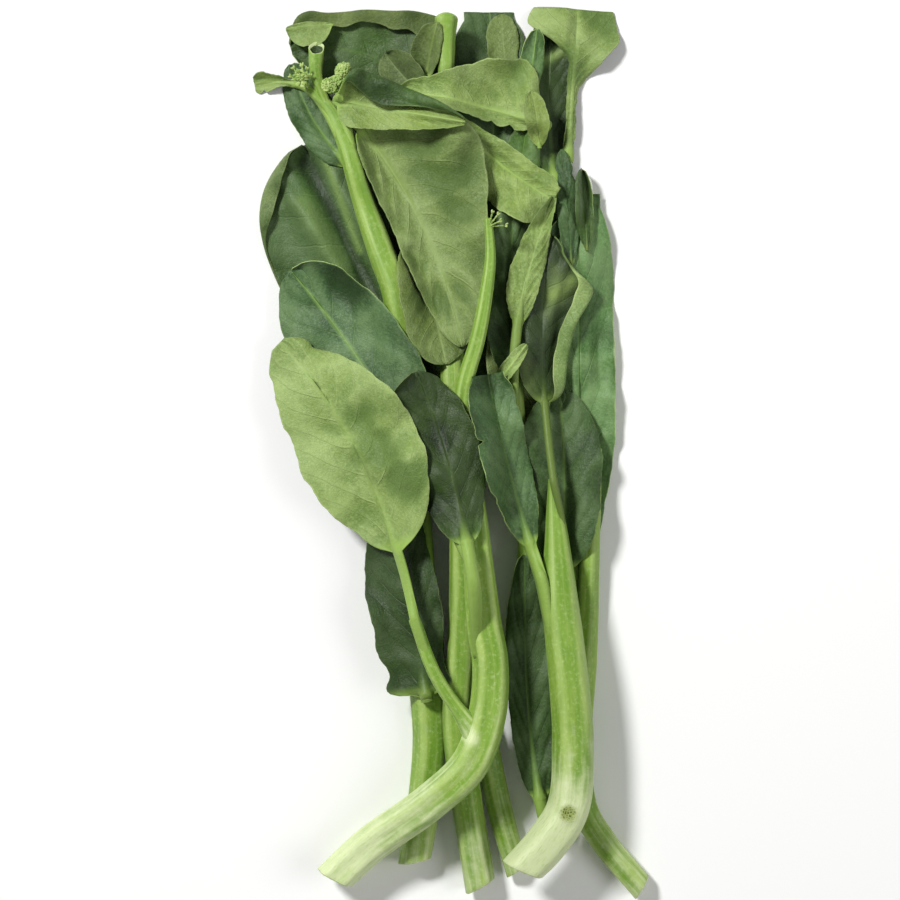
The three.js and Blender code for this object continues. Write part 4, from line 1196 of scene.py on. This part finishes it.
def tube_rings(path, sides, relief, ridge_turn, scars):
    """Rings round a centre line and its directions, with how far each point is on a ridge, on a
    scar and to the side."""
    centre = path[:, :3]
    along = np.gradient(centre, axis=0)
    along /= np.linalg.norm(along, axis=1)[:, None]
    side = np.column_stack([along[:, 1], -along[:, 0], np.zeros(len(along))])
    side /= np.linalg.norm(side, axis=1)[:, None]
    rise = np.cross(side, along)
    turn = 2 * math.pi * np.arange(sides) / sides - math.pi / 2
    run = np.arange(len(path))[:, None] / len(path)
    twist = ridge_turn + 0.5 * np.sin(run * 3 + ridge_turn)
    ridge = 0.5 - 0.5 * np.cos(STEM_RIDGES * (turn[None, :] - math.pi / 2) + twist)
    lumps = sum(strength * np.sin(run * pace + turns * turn[None, :]) for strength, pace, turns in LUMPS)
    radius = path[:, 3:4] * (1 + relief * (ridge * 2 - 1) + LUMP_RELIEF * lumps)
    out = np.cos(turn)[None, :, None] * side[:, None, :] + np.sin(turn)[None, :, None] * rise[:, None, :]
    rings = centre[:, None, :] + radius[:, :, None] * out
    scar = np.zeros(ridge.shape)
    for x, y, size in scars:
        away = np.hypot(rings[:, :, 0] - x, rings[:, :, 1] - y)
        away = np.where(out[:, :, 2] > 0, away, FAR)
        swell = (SCAR_RIM * np.exp(-((away - size) / SCAR_RIM_WIDTH) ** 2)
                 - SCAR_HOLLOW * np.exp(-(away / size) ** 2))
        rings += (swell * size * SCAR_DEPTH)[:, :, None] * out
        scar = np.maximum(scar, np.exp(-(away / (SCAR_REACH * size)) ** 2))
    return rings, along, ridge, scar, np.cos(turn)[None, :] * radius


def start_cap(ring, along, seed):
    """Rings that close a cut end, with a rolled rim and a rough pith."""
    middle = ring.mean(axis=0)
    rng = random.Random(seed)
    caps = []
    for share, depth, rough in CUT_RINGS:
        uneven = np.array([rng.uniform(-1, 1) for _ in range(len(ring))])[:, None] * rough
        caps.append(middle + (ring - middle) * share + along * (depth + uneven))
    return caps[::-1]


def end_cap(ring, along, radius, form):
    """Rings that close the far end: rounded, or hollow as a snapped side shoot is."""
    centre = ring.mean(axis=0)
    if form == "hollow":
        return [centre + (ring - centre) * share - along * depth for share, depth in HOLLOW_RINGS]
    return [centre + (ring - centre) * math.cos(angle) + along * radius * ROUND_RISE * math.sin(angle)
            for angle in ROUND_RINGS]


def tube_mesh(name, path, sides, seed, stem, slant, form="round", closed_start=True):
    """A tube that starts at a cut face, or inside a stem, and ends round or hollow."""
    rings, along, ridge, scar, across = tube_rings(
        path, sides, stem.get("relief", RIDGE_RELIEF), stem.get("turn", seed * 1.3), stem.get("scars", []))
    for k in range(SLANT_RINGS):
        share = 1 - k / SLANT_RINGS
        rings[k] += along[0] * across[k][:, None] * slant * share
        if form == "hollow":
            rise = rings[-1 - k][:, 2:] - rings[-1 - k][:, 2].mean()
            rings[-1 - k] -= along[-1] * rise * HOLLOW_SLANT * share
    before = start_cap(rings[0], along[0], seed) if closed_start else []
    after = end_cap(rings[-1], along[-1], path[-1, 3], form)
    every = np.array(before + list(rings) + after)
    count = len(every)
    run = np.concatenate([[0], np.cumsum(np.linalg.norm(np.diff(every.mean(axis=1), axis=0), axis=1))])
    k = np.arange(sides)
    nxt = (k + 1) % sides
    bands = [np.stack([i + k, i + nxt, i + sides + nxt, i + sides + k], 1)
             for i in range(0, (count - 1) * sides, sides)]
    faces = np.concatenate(bands).tolist()
    faces.append(list(range(sides))[::-1])
    faces.append([(count - 1) * sides + j for j in range(sides)])
    slots = np.zeros(len(faces), int)
    if closed_start:
        slots[:len(before) * sides] = 1
        slots[-2] = 1
    if form == "hollow":
        slots[(count - len(after)) * sides:-2] = 1
        # Past the lip, the hollow's inside takes the slot of its painted shade
        slots[(count - len(after) + HOLLOW_LIP) * sides:-2] = 2
        slots[-1] = 2
    mesh = closed_mesh(name, on_table(every), faces, slots)
    coords = np.stack([np.repeat(run / MAP_LENGTH, sides), np.tile(k / sides, count)], 1)
    unwrap(mesh, "stem", coords)
    pale_reach = stem.get("pale_reach", PALE_REACH) if closed_start else BRANCH_PALE_REACH
    near_cut = np.clip(1 - run / pale_reach, 0, 1)
    near_tip = np.clip(run / run[-1] * 2 - 1, 0, 1)
    base = np.repeat(near_cut * stem.get("pale", 0.5), sides).reshape(count, sides)
    for x, y, size in stem.get("collars", []):
        away = np.hypot(every[:, :, 0] - x, every[:, :, 1] - y)
        base = np.maximum(base, np.exp(-(away / size) ** 2))
    paint(mesh, "base", base.ravel())
    paint(mesh, "tip", np.repeat(near_tip, sides))
    paint(mesh, "ridge", ringed(ridge, len(before), len(after)))
    paint(mesh, "scar", ringed(scar, len(before), len(after)))
    paint(mesh, "shade", np.full(count * sides, stem.get("shade", 0.5)))
    mesh.update()
    return mesh


def ringed(values, before, after):
    """Values of the rings, repeated over the rings that close the ends."""
    first, last = np.repeat(values[:1], before, 0), np.repeat(values[-1:], after, 0)
    return np.concatenate([first, values, last]).ravel()


class FineStem:
    """One stem with its side shoots."""

    def __init__(self, name, seed):
        self.name = name
        self.seed = seed
        self.stem = STEMS[name]
        self.planned = stem_centre(name)
        self.path = self.planned
        self.branches = []

    def lay(self, heap):
        self.path = raised(self.planned, heap)
        tree = solid_tree(self.name)
        for branch in self.stem.get("branches", []):
            line = branch_centre(branch, tree, self.path)
            self.branches.append(raised(line, heap, LIFT_HELD))
        for path in [self.path] + self.branches:
            rings = tube_rings(path, STEM_SIDES, 0, 0, [])[0]
            upper_half = slice(STEM_SIDES // 4 - 2, STEM_SIDES * 3 // 4 + 3)
            heap.add(rings[:, upper_half], 2)

    def build(self, materials):
        meshes = [tube_mesh(f"fine_{self.name}", self.path, STEM_SIDES, self.seed, self.stem, CUT_SLANT)]
        for k, branch in enumerate(self.stem.get("branches", [])):
            seed = self.seed + k + BRANCH_SEED
            meshes.append(tube_mesh(f"{self.name}_shoot_{k}", self.branches[k], BRANCH_SIDES, seed,
                                    {"shade": self.stem.get("shade", 0.5)}, 0, branch.get("form", "round"),
                                    False))
        for mesh in meshes:
            for slot in ("stem", "cut", "hollow"):
                mesh.materials.append(materials[slot])
        piece = join_meshes(f"fine_{self.name}", meshes)
        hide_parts(self.name)
        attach(piece, "root")


def join_meshes(name, meshes):
    """One object from several closed meshes with the same material slots."""
    objects = [add_object(f"{name}_{k}", mesh) for k, mesh in enumerate(meshes)]
    if len(objects) > 1:
        with bpy.context.temp_override(active_object=objects[0], selected_editable_objects=objects):
            bpy.ops.object.join()
    objects[0].name = name
    return objects[0]


# Bud heads

def egg(verts, faces, centre, direction, width, thickness, length):
    """Adds one closed egg with its base at the centre, pointing in a direction."""
    turn = Vector((0, 0, 1)).rotation_difference(Vector(direction)).to_matrix()
    start = len(verts)
    for i in range(BUD_ROUNDS + 1):
        polar = math.pi * i / BUD_ROUNDS
        around = math.sin(polar) * (1 - BUD_POINT * math.cos(polar)) if 0 < i < BUD_ROUNDS else 0
        up = length * (1 - math.cos(polar)) / 2
        for j in range(1 if i in (0, BUD_ROUNDS) else BUD_SIDES):
            angle = 2 * math.pi * j / BUD_SIDES
            bulge = around * (1 + BUD_RIBS * math.cos(4 * angle))
            verts.append(Vector(centre) + turn @ Vector(
                (width * bulge * math.cos(angle), thickness * bulge * math.sin(angle), up)))
    last = len(verts) - 1
    for j in range(BUD_SIDES):
        after = (j + 1) % BUD_SIDES
        faces.append((start, start + 1 + after, start + 1 + j))
        faces.append((last, last - BUD_SIDES + j, last - BUD_SIDES + after))
        for i in range(BUD_ROUNDS - 2):
            low = start + 1 + i * BUD_SIDES
            faces.append((low + j, low + after, low + BUD_SIDES + after, low + BUD_SIDES + j))


def direction_of(turn, height):
    """A unit vector at a turn round +Z and a height from -1 to 1."""
    out = math.sqrt(max(0, 1 - height * height))
    return Vector((math.cos(turn) * out, math.sin(turn) * out, height))


class FineHead:
    """Clumps of buds on short stalks among small bracts."""

    def __init__(self, name, seed):
        self.name = name
        self.rng = random.Random(seed)
        self.head = HEADS[name]
        self.verts = []
        self.faces = []

    def egg(self, *form):
        egg(self.verts, self.faces, *form)

    def stalk(self, start, end, radius):
        """A thin stalk between two points."""
        line = end - start
        length = line.length * (1 + 2 * STALK_OVERLAP)
        self.egg(start - line * STALK_OVERLAP, line.normalized(), radius, radius, length)

    def clump(self, centre, radius, size):
        """A dome of buds that touch one another."""
        rng = self.rng
        core = radius * DOME_CORE
        self.egg(centre - Vector((0, 0, radius)), Vector((0, 0, 1)), core, core, radius * DOME_LENGTH)
        buds = int(BUDS_PER_DOME * (radius / size) ** 2)
        for k in range(buds):
            direction = direction_of(GOLDEN_TURN * k + rng.uniform(-BUD_TURN, BUD_TURN),
                                     1 - DOME_COVER * (k + 0.5) / buds)
            lean = Vector((rng.uniform(-BUD_LEAN, BUD_LEAN), rng.uniform(-BUD_LEAN, BUD_LEAN), BUD_RAISE))
            width = size * rng.uniform(*BUD_WIDTH)
            self.egg(centre + direction * radius * BUD_DEPTH, (direction + lean).normalized(),
                     width, width, width * rng.uniform(*BUD_LENGTH))

    def sprig(self, start, tip):
        """A thin shoot that bows upwards and ends in a few narrow buds."""
        bend = (start + tip) / 2 + Vector((0, 0, (tip - start).length * SPRIG_BOW))
        elbows = [start.lerp(bend, t).lerp(bend.lerp(tip, t), t) for t in SPRIG_ELBOWS]
        for low, high in zip(elbows, elbows[1:]):
            self.stalk(low, high, SPRIG_RADIUS)
        along = (tip - bend).normalized()
        for turn in SPRIG_TURNS:
            lean = Vector((math.cos(turn), math.sin(turn), SPRIG_RAISE)) * SPRIG_LEAN
            self.egg(tip, (along + lean).normalized(), *SPRIG_BUD, self.rng.uniform(*SPRIG_BUD_LENGTH))

    def build(self, stems, paths, materials):
        rng, head = self.rng, self.head
        low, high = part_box(self.name)
        middle = (low + high) / 2 / MM
        lift = min((np.hypot(stem.path[k, 0] - CENTRE[0] - middle.x, stem.path[k, 1] - CENTRE[1] - middle.y),
                    stem.path[k, 2] - stem.planned[k, 2]) for stem in stems.values()
                   for k in (-1, len(stem.path) // 2))[1]
        middle.z += lift
        spread = min(high.x - low.x, high.y - low.y) / MM / 2 - HEAD_MARGIN
        base = middle - Vector((0, 0, spread * HEAD_BASE))
        spots = np.concatenate(paths)[:, :3] - np.array([*CENTRE, 0])
        nearest = Vector(spots[np.linalg.norm(spots - np.array(base), axis=1).argmin()])
        if head["domes"]:
            self.stalk(nearest, base + Vector((0, 0, spread * TRUNK_TOP)), spread * TRUNK_RADIUS)
        for x, y, radius in head["domes"]:
            spot = middle + Vector((x, y, spread * DOME_RISE - radius * DOME_SINK))
            self.stalk(base, spot, DOME_STALK)
            self.clump(spot, radius, head["size"])
        for sprig in head["sprigs"]:
            self.sprig(nearest, middle + Vector(sprig))
        for k in range(head["bracts"]):
            turn = 2 * math.pi * (k + rng.uniform(-BRACT_TURN, BRACT_TURN)) / head["bracts"]
            direction = direction_of(turn, rng.uniform(0, BRACT_RISE))
            self.egg(middle + direction * spread * BRACT_START, direction, rng.uniform(*BRACT_WIDTH),
                     BRACT_THICKNESS, spread * rng.uniform(*BRACT_LENGTH))
        mesh = closed_mesh(f"fine_{self.name}", [vertex * MM for vertex in self.verts], self.faces,
                           np.zeros(len(self.faces), int))
        mesh.materials.append(materials["bud"])
        piece = add_object(f"fine_{self.name}", mesh)
        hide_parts(self.name)
        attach(piece, "root")


# Materials

NOISE_ROUGHNESS = 0.55
SHADE_RANGE = 0.8
SHADE_LEAST = 0.6

# Places of the colours among a mix node's inputs and outputs
MIX_A = 6
MIX_B = 7
MIX_RESULT = 2

# Colours are from 0 to 255, and the other values are shares
# In the two leaf tables, "lit" is the colour of painted highlights, "rim" that of a painted highlight along
# the edges, and the valley and crest shares paint shade into the blade's hollows and a highlight on its
# crests
DARK_SIDE = {
    "cool": (58, 88, 54), "warm": (68, 102, 24), "deep": (24, 46, 12), "patches": 0.5,
    "bloom": (103, 128, 82), "bloom_share": 0.34, "grain": 0.32, "vein": (108, 138, 80),
    "vein_share": 0.25, "net": 0.12, "rim": (130, 158, 92), "rib": (108, 140, 68), "rough": 0.5,
    "lit": (136, 160, 88), "sheen": 0.03, "gloss": 0.3, "vein_relief": -0.35, "valley_shade": 0.75,
    "crest_highlight": 0.5,
}
PALE_SIDE = {
    "cool": (124, 149, 86), "warm": (138, 161, 70), "deep": (76, 106, 42), "patches": 0.5,
    "bloom": (162, 184, 116), "bloom_share": 0.42, "grain": 0.42, "vein": (168, 190, 118),
    "vein_share": 0.3, "net": 0.22, "rim": (182, 200, 130), "rib": (152, 178, 98), "rough": 0.54,
    "lit": (176, 196, 128), "sheen": 0.05, "gloss": 0.3, "vein_relief": 0.6, "valley_shade": 0.66,
    "crest_highlight": 0.5,
}
STALK_COLOUR = (138, 168, 78)
STEM_SKIN = {
    "deep": (108, 146, 44), "light": (138, 170, 68), "streak": (166, 190, 100), "fine": (92, 130, 36),
    "blotch": (92, 132, 38), "ridge": (184, 204, 126), "speck": (196, 212, 146), "pale": (212, 222, 174),
    "pale_streak": (150, 178, 88), "tip": (112, 150, 54), "scar_net": (158, 168, 96),
    "scar": (82, 108, 40), "sheen": (224, 236, 186),
}
CUT_FACE = {"deep": (178, 194, 130), "light": (208, 216, 172), "grain": (150, 172, 96)}
# The hollow's inside is painted shade, a dark green
HOLLOW_SHADE = {"deep": (28, 48, 10), "light": (62, 88, 26)}
BUD_SKIN = {"deep": (132, 164, 74), "light": (176, 196, 116), "speck": (206, 216, 156)}


class Nodes:
    """A small helper that builds a node tree from left to right."""

    def __init__(self, name):
        self.material = bpy.data.materials.new(name)
        self.material.use_nodes = True
        self.tree = self.material.node_tree
        self.shader = self.tree.nodes["Principled BSDF"]

    def node(self, kind, **settings):
        made = self.tree.nodes.new(kind)
        for key, value in settings.items():
            setattr(made, key, value)
        return made

    def link(self, source, target):
        self.tree.links.new(source, target)

    def set(self, socket, value):
        if hasattr(value, "is_output"):
            self.link(value, socket)
        else:
            socket.default_value = value

    def math(self, operation, a, b=0.0, clamp=False):
        made = self.node("ShaderNodeMath", operation=operation, use_clamp=clamp)
        self.set(made.inputs[0], a)
        self.set(made.inputs[1], b)
        return made.outputs[0]

    def mix(self, factor, a, b):
        made = self.node("ShaderNodeMix", data_type="RGBA")
        self.set(made.inputs[0], factor)
        self.set(made.inputs[MIX_A], a)
        self.set(made.inputs[MIX_B], b)
        return made.outputs[MIX_RESULT]

    def smooth(self, value, low, high):
        made = self.node("ShaderNodeMapRange", interpolation_type="SMOOTHSTEP")
        self.set(made.inputs[0], value)
        made.inputs[1].default_value = low
        made.inputs[2].default_value = high
        return made.outputs[0]

    def times(self, a, b):
        return self.math("MULTIPLY", a, b)

    def plus(self, a, b):
        return self.math("ADD", a, b)

    def minus(self, a, b):
        return self.math("SUBTRACT", a, b)

    def summed(self, *parts):
        """The sum of some values, each with its share."""
        total, *others = [self.times(value, share) for value, share in parts]
        for value in others:
            total = self.plus(total, value)
        return total

    def texture(self, kind, scale, vector=None, **settings):
        """A texture of a scale, over the object's own coordinates or a given vector."""
        made = self.node(kind, **settings)
        made.inputs["Scale"].default_value = scale
        if vector is None:
            vector = self.node("ShaderNodeTexCoord").outputs["Object"]
        self.link(vector, made.inputs["Vector"])
        return made

    def noise(self, scale, detail, vector=None):
        made = self.texture("ShaderNodeTexNoise", scale, vector)
        made.inputs["Detail"].default_value = detail
        made.inputs["Roughness"].default_value = NOISE_ROUGHNESS
        return made.outputs[0]

    def cells(self, scale):
        """Distance to the nearest border between cells."""
        return self.texture("ShaderNodeTexVoronoi", scale, feature="DISTANCE_TO_EDGE").outputs["Distance"]

    def attribute(self, name):
        return self.node("ShaderNodeAttribute", attribute_name=name).outputs["Fac"]

    def map_places(self, name):
        """The two parts of a place on one of the mesh's maps."""
        split = self.node("ShaderNodeSeparateXYZ")
        self.link(self.node("ShaderNodeUVMap", uv_map=name).outputs[0], split.inputs[0])
        return split.outputs[0], split.outputs[1]

    def wash(self, colour, mask, share, other):
        """Another colour over this one, as strong as a mask times a share."""
        return self.mix(self.times(mask, share), colour, srgb(*other))

    def tint(self, colour, mask, low, high, share, other):
        """A wash for which a mask starts at a low value and is full at a high one."""
        return self.wash(colour, self.smooth(mask, low, high), share, other)

    def between(self, mask, low, high, first, second):
        """One colour where a mask is low and a second one where it is high."""
        return self.mix(self.smooth(mask, low, high), srgb(*first), srgb(*second))

    def shaded(self, colour):
        """The base colour, made lighter or darker by the shade that the mesh keeps: the piece's own tone
        together with painted light and painted shade.
        """
        bright = self.node("ShaderNodeHueSaturation")
        value = self.plus(self.times(self.attribute("shade"), SHADE_RANGE), SHADE_LEAST)
        self.link(value, bright.inputs["Value"])
        self.link(colour, bright.inputs["Color"])
        self.link(bright.outputs[0], self.shader.inputs["Base Color"])

    def roughness(self, mask, share, least):
        self.link(self.plus(self.times(mask, share), least), self.shader.inputs["Roughness"])

    def fixed(self, values):
        """Gives inputs of the shader one value each."""
        for name, value in values.items():
            self.shader.inputs[name].default_value = value

    def bump(self, height, strength, distance):
        made = self.node("ShaderNodeBump")
        made.inputs["Strength"].default_value = strength
        made.inputs["Distance"].default_value = distance
        self.link(height, made.inputs["Height"])
        self.link(made.outputs[0], self.shader.inputs["Normal"])


def srgb(red, green, blue):
    """A colour read from 0 to 255, as the linear values that Blender takes."""
    def linear(level):
        level /= 255
        return level / 12.92 if level <= 0.04045 else ((level + 0.055) / 1.055) ** 2.4
    return (linear(red), linear(green), linear(blue), 1)


def leaf_veins(n):
    """Masks of a leaf's side veins and fine net, and of its rim, the edge on which a highlight is painted.
    """
    place, across = n.map_places("blade")
    signed = n.minus(across, 0.5)
    spread = n.times(n.math("ABSOLUTE", signed), 2.0)
    side = n.times(n.math("LESS_THAN", signed, 0.0), 0.5)
    rake = n.times(n.math("POWER", spread, VEIN_POWER), VEIN_RAKE)
    wobble = n.times(n.minus(n.noise(60.0, 2.0), 0.5), 0.5)
    phase = n.plus(n.minus(n.times(place, float(VEIN_PAIRS)), rake), side)
    phase = n.plus(phase, wobble)
    away = n.math("ABSOLUTE", n.minus(n.math("FRACT", phase), 0.5))
    width = n.times(n.minus(1.15, spread), 0.035)
    vein = n.minus(1.0, n.smooth(n.math("DIVIDE", n.minus(0.5, away), width), 0.3, 1.6))
    on_blade = n.times(n.smooth(place, 0.02, 0.1), n.smooth(spread, 0.03, 0.08))
    vein = n.times(vein, on_blade)
    net = n.minus(1.0, n.smooth(n.cells(330.0), 0.0, 0.12))
    fine = n.minus(1.0, n.smooth(n.cells(900.0), 0.0, 0.16))
    net = n.math("MAXIMUM", n.times(net, 0.4), n.times(fine, 0.6))
    net = n.times(net, on_blade)
    rim = n.smooth(spread, 0.965, 0.995)
    return vein, net, rim


def leaf_material(name, look):
    """One side of the leaves, from a table of its colours."""
    n = Nodes(name)
    vein, net, rim = leaf_veins(n)
    broad = n.noise(42.0, 4.0)
    mottle = n.noise(130.0, 4.0)
    grain = n.noise(360.0, 4.0)
    fine = n.noise(900.0, 3.0)
    colour = n.mix(n.attribute("warm"), srgb(*look["cool"]), srgb(*look["warm"]))
    colour = n.tint(colour, broad, 0.35, 0.68, look["patches"], look["deep"])
    colour = n.tint(colour, mottle, 0.42, 0.72, look["bloom_share"], look["bloom"])
    colour = n.tint(colour, grain, 0.5, 0.72, look["grain"], look["deep"])
    colour = n.tint(colour, fine, 0.42, 0.7, look["grain"], look["bloom"])
    colour = n.wash(colour, net, look["net"], look["vein"])
    colour = n.wash(colour, vein, look["vein_share"], look["vein"])
    # Painted highlight along the edges, where the blade's thickness catches the light
    colour = n.wash(colour, rim, 0.55, look["rim"])
    # Painted shade in the blade's valleys and a painted highlight on its crests
    crest = n.attribute("crest")
    valley = n.math("MAXIMUM", n.times(crest, -1.0), 0.0)
    colour = n.wash(colour, valley, look["valley_shade"], look["deep"])
    colour = n.wash(colour, n.math("MAXIMUM", crest, 0.0), look["crest_highlight"], look["bloom"])
    # Painted highlights, in the lit colour
    colour = n.mix(n.attribute("lit"), colour, srgb(*look["lit"]))
    rib = n.mix(n.attribute("stalk"), srgb(*look["rib"]), srgb(*STALK_COLOUR))
    on_rib = n.math("MAXIMUM", n.math("MULTIPLY", n.attribute("rib"), 1.0, True),
                    n.smooth(n.attribute("stalk"), 0.6, 0.95))
    colour = n.mix(on_rib, colour, rib)
    n.shaded(colour)
    n.roughness(mottle, 0.25, look["rough"] - 0.12)
    n.fixed({"Sheen Weight": look["sheen"], "Sheen Roughness": 0.5, "Specular IOR Level": look["gloss"]})
    relief = n.summed((grain, 0.6), (mottle, 0.6), (fine, 0.25), (vein, look["vein_relief"]),
                      (net, look["vein_relief"] * 0.6))
    n.bump(relief, 0.6, 0.0008)
    return n.material


def round_the_stem(n, stretch):
    """A vector that runs round and along a stem without a seam."""
    run, turn = n.map_places("stem")
    angle = n.times(turn, 2 * math.pi)
    join = n.node("ShaderNodeCombineXYZ")
    n.link(n.math("COSINE", angle), join.inputs[0])
    n.link(n.math("SINE", angle), join.inputs[1])
    n.link(n.times(run, stretch), join.inputs[2])
    return join.outputs[0]


def stem_material():
    n = Nodes("stem_skin")
    bands = n.noise(1.0, 2.0, round_the_stem(n, 2.2))
    streaks = n.noise(3.0, 3.0, round_the_stem(n, 1.2))
    fine = n.noise(12.0, 3.0, round_the_stem(n, 2.5))
    blotches = n.noise(110.0, 4.0)
    specks = n.noise(650.0, 3.0)
    colour = n.between(bands, 0.35, 0.65, STEM_SKIN["deep"], STEM_SKIN["light"])
    colour = n.tint(colour, streaks, 0.42, 0.7, 0.3, STEM_SKIN["streak"])
    colour = n.tint(colour, fine, 0.42, 0.72, 0.3, STEM_SKIN["fine"])
    colour = n.tint(colour, blotches, 0.48, 0.7, 0.35, STEM_SKIN["blotch"])
    ridge = n.times(n.smooth(n.attribute("ridge"), 0.4, 1.0), n.smooth(bands, 0.2, 0.6))
    colour = n.wash(colour, ridge, 0.4, STEM_SKIN["ridge"])
    colour = n.tint(colour, specks, 0.48, 0.75, 0.3, STEM_SKIN["speck"])
    uneven = n.plus(n.minus(streaks, 0.5), n.minus(blotches, 0.5))
    pale = n.smooth(n.plus(n.attribute("base"), uneven), 0.15, 1.0)
    colour = n.wash(colour, pale, 0.85, STEM_SKIN["pale"])
    colour = n.tint(colour, fine, 0.5, 0.7, n.times(pale, 0.35), STEM_SKIN["pale_streak"])
    colour = n.wash(colour, n.attribute("tip"), 0.4, STEM_SKIN["tip"])
    rough = n.cells(900.0)
    scar = n.between(rough, 0.02, 0.3, STEM_SKIN["scar_net"], STEM_SKIN["scar"])
    colour = n.mix(n.smooth(n.attribute("scar"), 0.25, 0.8), colour, scar)
    n.shaded(colour)
    n.roughness(specks, 0.2, 0.4)
    n.fixed({"Sheen Weight": 0.22, "Sheen Roughness": 0.35, "Sheen Tint": srgb(*STEM_SKIN["sheen"]),
             "Specular IOR Level": 0.32})
    relief = n.summed((streaks, 0.6), (specks, 0.15), (fine, 0.3),
                      (n.times(rough, n.attribute("scar")), 3.0))
    n.bump(relief, 0.4, 0.0006)
    return n.material


def cut_material():
    n = Nodes("cut_face")
    grain = n.noise(900.0, 4.0)
    broad = n.noise(220.0, 3.0)
    colour = n.between(broad, 0.35, 0.65, CUT_FACE["deep"], CUT_FACE["light"])
    colour = n.tint(colour, grain, 0.4, 0.7, 0.4, CUT_FACE["grain"])
    n.link(colour, n.shader.inputs["Base Color"])
    n.roughness(grain, 0.3, 0.35)
    n.bump(grain, 0.4, 0.0006)
    return n.material


def hollow_material():
    # Painted shade: the inside of a snapped shoot's hollow, drawn dark green
    n = Nodes("hollow_shade")
    grain = n.noise(1400.0, 3.0)
    colour = n.between(grain, 0.35, 0.7, HOLLOW_SHADE["deep"], HOLLOW_SHADE["light"])
    n.link(colour, n.shader.inputs["Base Color"])
    n.fixed({"Roughness": 0.7})
    n.bump(grain, 0.4, 0.0005)
    return n.material


def bud_material():
    n = Nodes("bud_skin")
    broad = n.noise(450.0, 2.0)
    fine = n.noise(1500.0, 2.0)
    colour = n.between(broad, 0.35, 0.65, BUD_SKIN["deep"], BUD_SKIN["light"])
    colour = n.tint(colour, fine, 0.5, 0.8, 0.4, BUD_SKIN["speck"])
    n.link(colour, n.shader.inputs["Base Color"])
    n.roughness(fine, 0.2, 0.4)
    n.fixed({"Sheen Weight": 0.1})
    n.bump(fine, 0.2, 0.0003)
    return n.material


def make_materials():
    return {
        "leaf_dark": leaf_material("leaf_upper_side", DARK_SIDE),
        "leaf_pale": leaf_material("leaf_under_side", PALE_SIDE),
        "stem": stem_material(),
        "cut": cut_material(),
        "hollow": hollow_material(),
        "bud": bud_material(),
    }


# Stage, light and camera

CAMERA_HEIGHT = 1.12
CAMERA_SUBJECT = 0.013
SENSOR = 36
TABLE_HALF = 3.0
TABLE_COLOUR = (247, 247, 246)
WORLD_LIGHT = 0.22

# The photograph: its width and the plan's origin in pixels, and the millimetres to a pixel
PHOTO_PIXELS = 900
ORIGIN_PIXEL = (440, 450)
PIXEL = 0.4
PHOTO_WIDTH = PHOTO_PIXELS * PIXEL * MM
PHOTO_MIDDLE = ((PHOTO_PIXELS / 2 - ORIGIN_PIXEL[0]) * PIXEL - CENTRE[0],
                (ORIGIN_PIXEL[1] - PHOTO_PIXELS / 2) * PIXEL - CENTRE[1])


def make_stage():
    mesh = bpy.data.meshes.new("table")
    corners = [(x * TABLE_HALF, y * TABLE_HALF, 0) for x, y in ((-1, -1), (1, -1), (1, 1), (-1, 1))]
    mesh.from_pydata(corners, [], [(0, 1, 2, 3)])
    table = add_object("table", mesh)
    n = Nodes("table_white")
    n.fixed({"Base Color": srgb(*TABLE_COLOUR), "Roughness": 0.7})
    mesh.materials.append(n.material)


def add_light(name, place, size, power, colour=(1, 1, 1)):
    light = bpy.data.lights.new(name, "AREA")
    light.shape = "DISK"
    light.size = size
    light.energy = power
    light.color = colour
    lamp = add_object(name, light)
    lamp.location = place
    lamp.rotation_euler = (-Vector(place)).to_track_quat("-Z", "Y").to_euler()


def make_lights():
    world = bpy.data.worlds.new("studio")
    bpy.context.scene.world = world
    world.use_nodes = True
    world.node_tree.nodes["Background"].inputs[0].default_value = (1, 1, 1, 1)
    world.node_tree.nodes["Background"].inputs[1].default_value = WORLD_LIGHT
    add_light("key", (-0.8, 0.75, 1.25), 0.3, 28)
    add_light("fill", (0.95, -0.2, 0.9), 0.8, 5)


def make_camera():
    data = bpy.data.cameras.new("camera")
    data.sensor_width = SENSOR
    data.lens = SENSOR * (CAMERA_HEIGHT - CAMERA_SUBJECT) / PHOTO_WIDTH
    camera = add_object("camera", data)
    camera.location = (PHOTO_MIDDLE[0] * MM, PHOTO_MIDDLE[1] * MM, CAMERA_HEIGHT)
    bpy.context.scene.camera = camera
    bpy.context.scene.view_settings.view_transform = "Standard"


LAYING = [
    "leaf_under_left", "leaf_under_middle", "leaf_under_right", "leaf_under_top", "leaf_edge_right",
    "leaf_corner_dark", "leaf_left_dark", "leaf_corner_blue", "leaf_top_right_dark",
    "leaf_top_right_pale", "leaf_right_inner", "leaf_right_blue", "leaf_right_notched",
    "leaf_right_curled", "leaf_right_short", "stem_diagonal", "stem_slim", "stem_wrapped",
    "stem_right", "stem_knob", "leaf_right_pale", "leaf_top_round", "leaf_top_grey", "leaf_top_inner",
    "leaf_top_middle", "leaf_tip_flap", "leaf_bud_bright", "leaf_front_back", "leaf_front_pale",
    "leaf_top_pale", "leaf_right_pale_tip", "leaf_top_folded", "leaf_low_right", "leaf_low_wrap",
    "stem_thick", "leaf_right_middle", "leaf_right_narrow", "leaf_low_left", "stem_front",
    "leaf_centre_curl", "leaf_left_bloom", "leaf_centre_dark", "leaf_centre_torn", "leaf_left_pale",
]


def make_bunch():
    """Lays every piece on those below it, then builds them all."""
    materials = make_materials()
    heap = Heap()
    leaves, stems = {}, {}
    for seed, name in enumerate(LAYING):
        if name in STEMS:
            stems[name] = FineStem(name, seed)
            stems[name].lay(heap)
        else:
            leaves[name] = FineLeaf(name, LEAVES[name], seed)
            leaves[name].lay(heap)
    paths = [path for stem in stems.values() for path in [stem.path] + stem.branches]
    for stem in stems.values():
        stem.build(materials)
    for leaf in leaves.values():
        leaf.build(paths, materials)
    for seed, name in enumerate(HEADS):
        FineHead(name, seed).build(stems, paths, materials)


make_stage()
make_lights()
make_camera()
make_bunch()
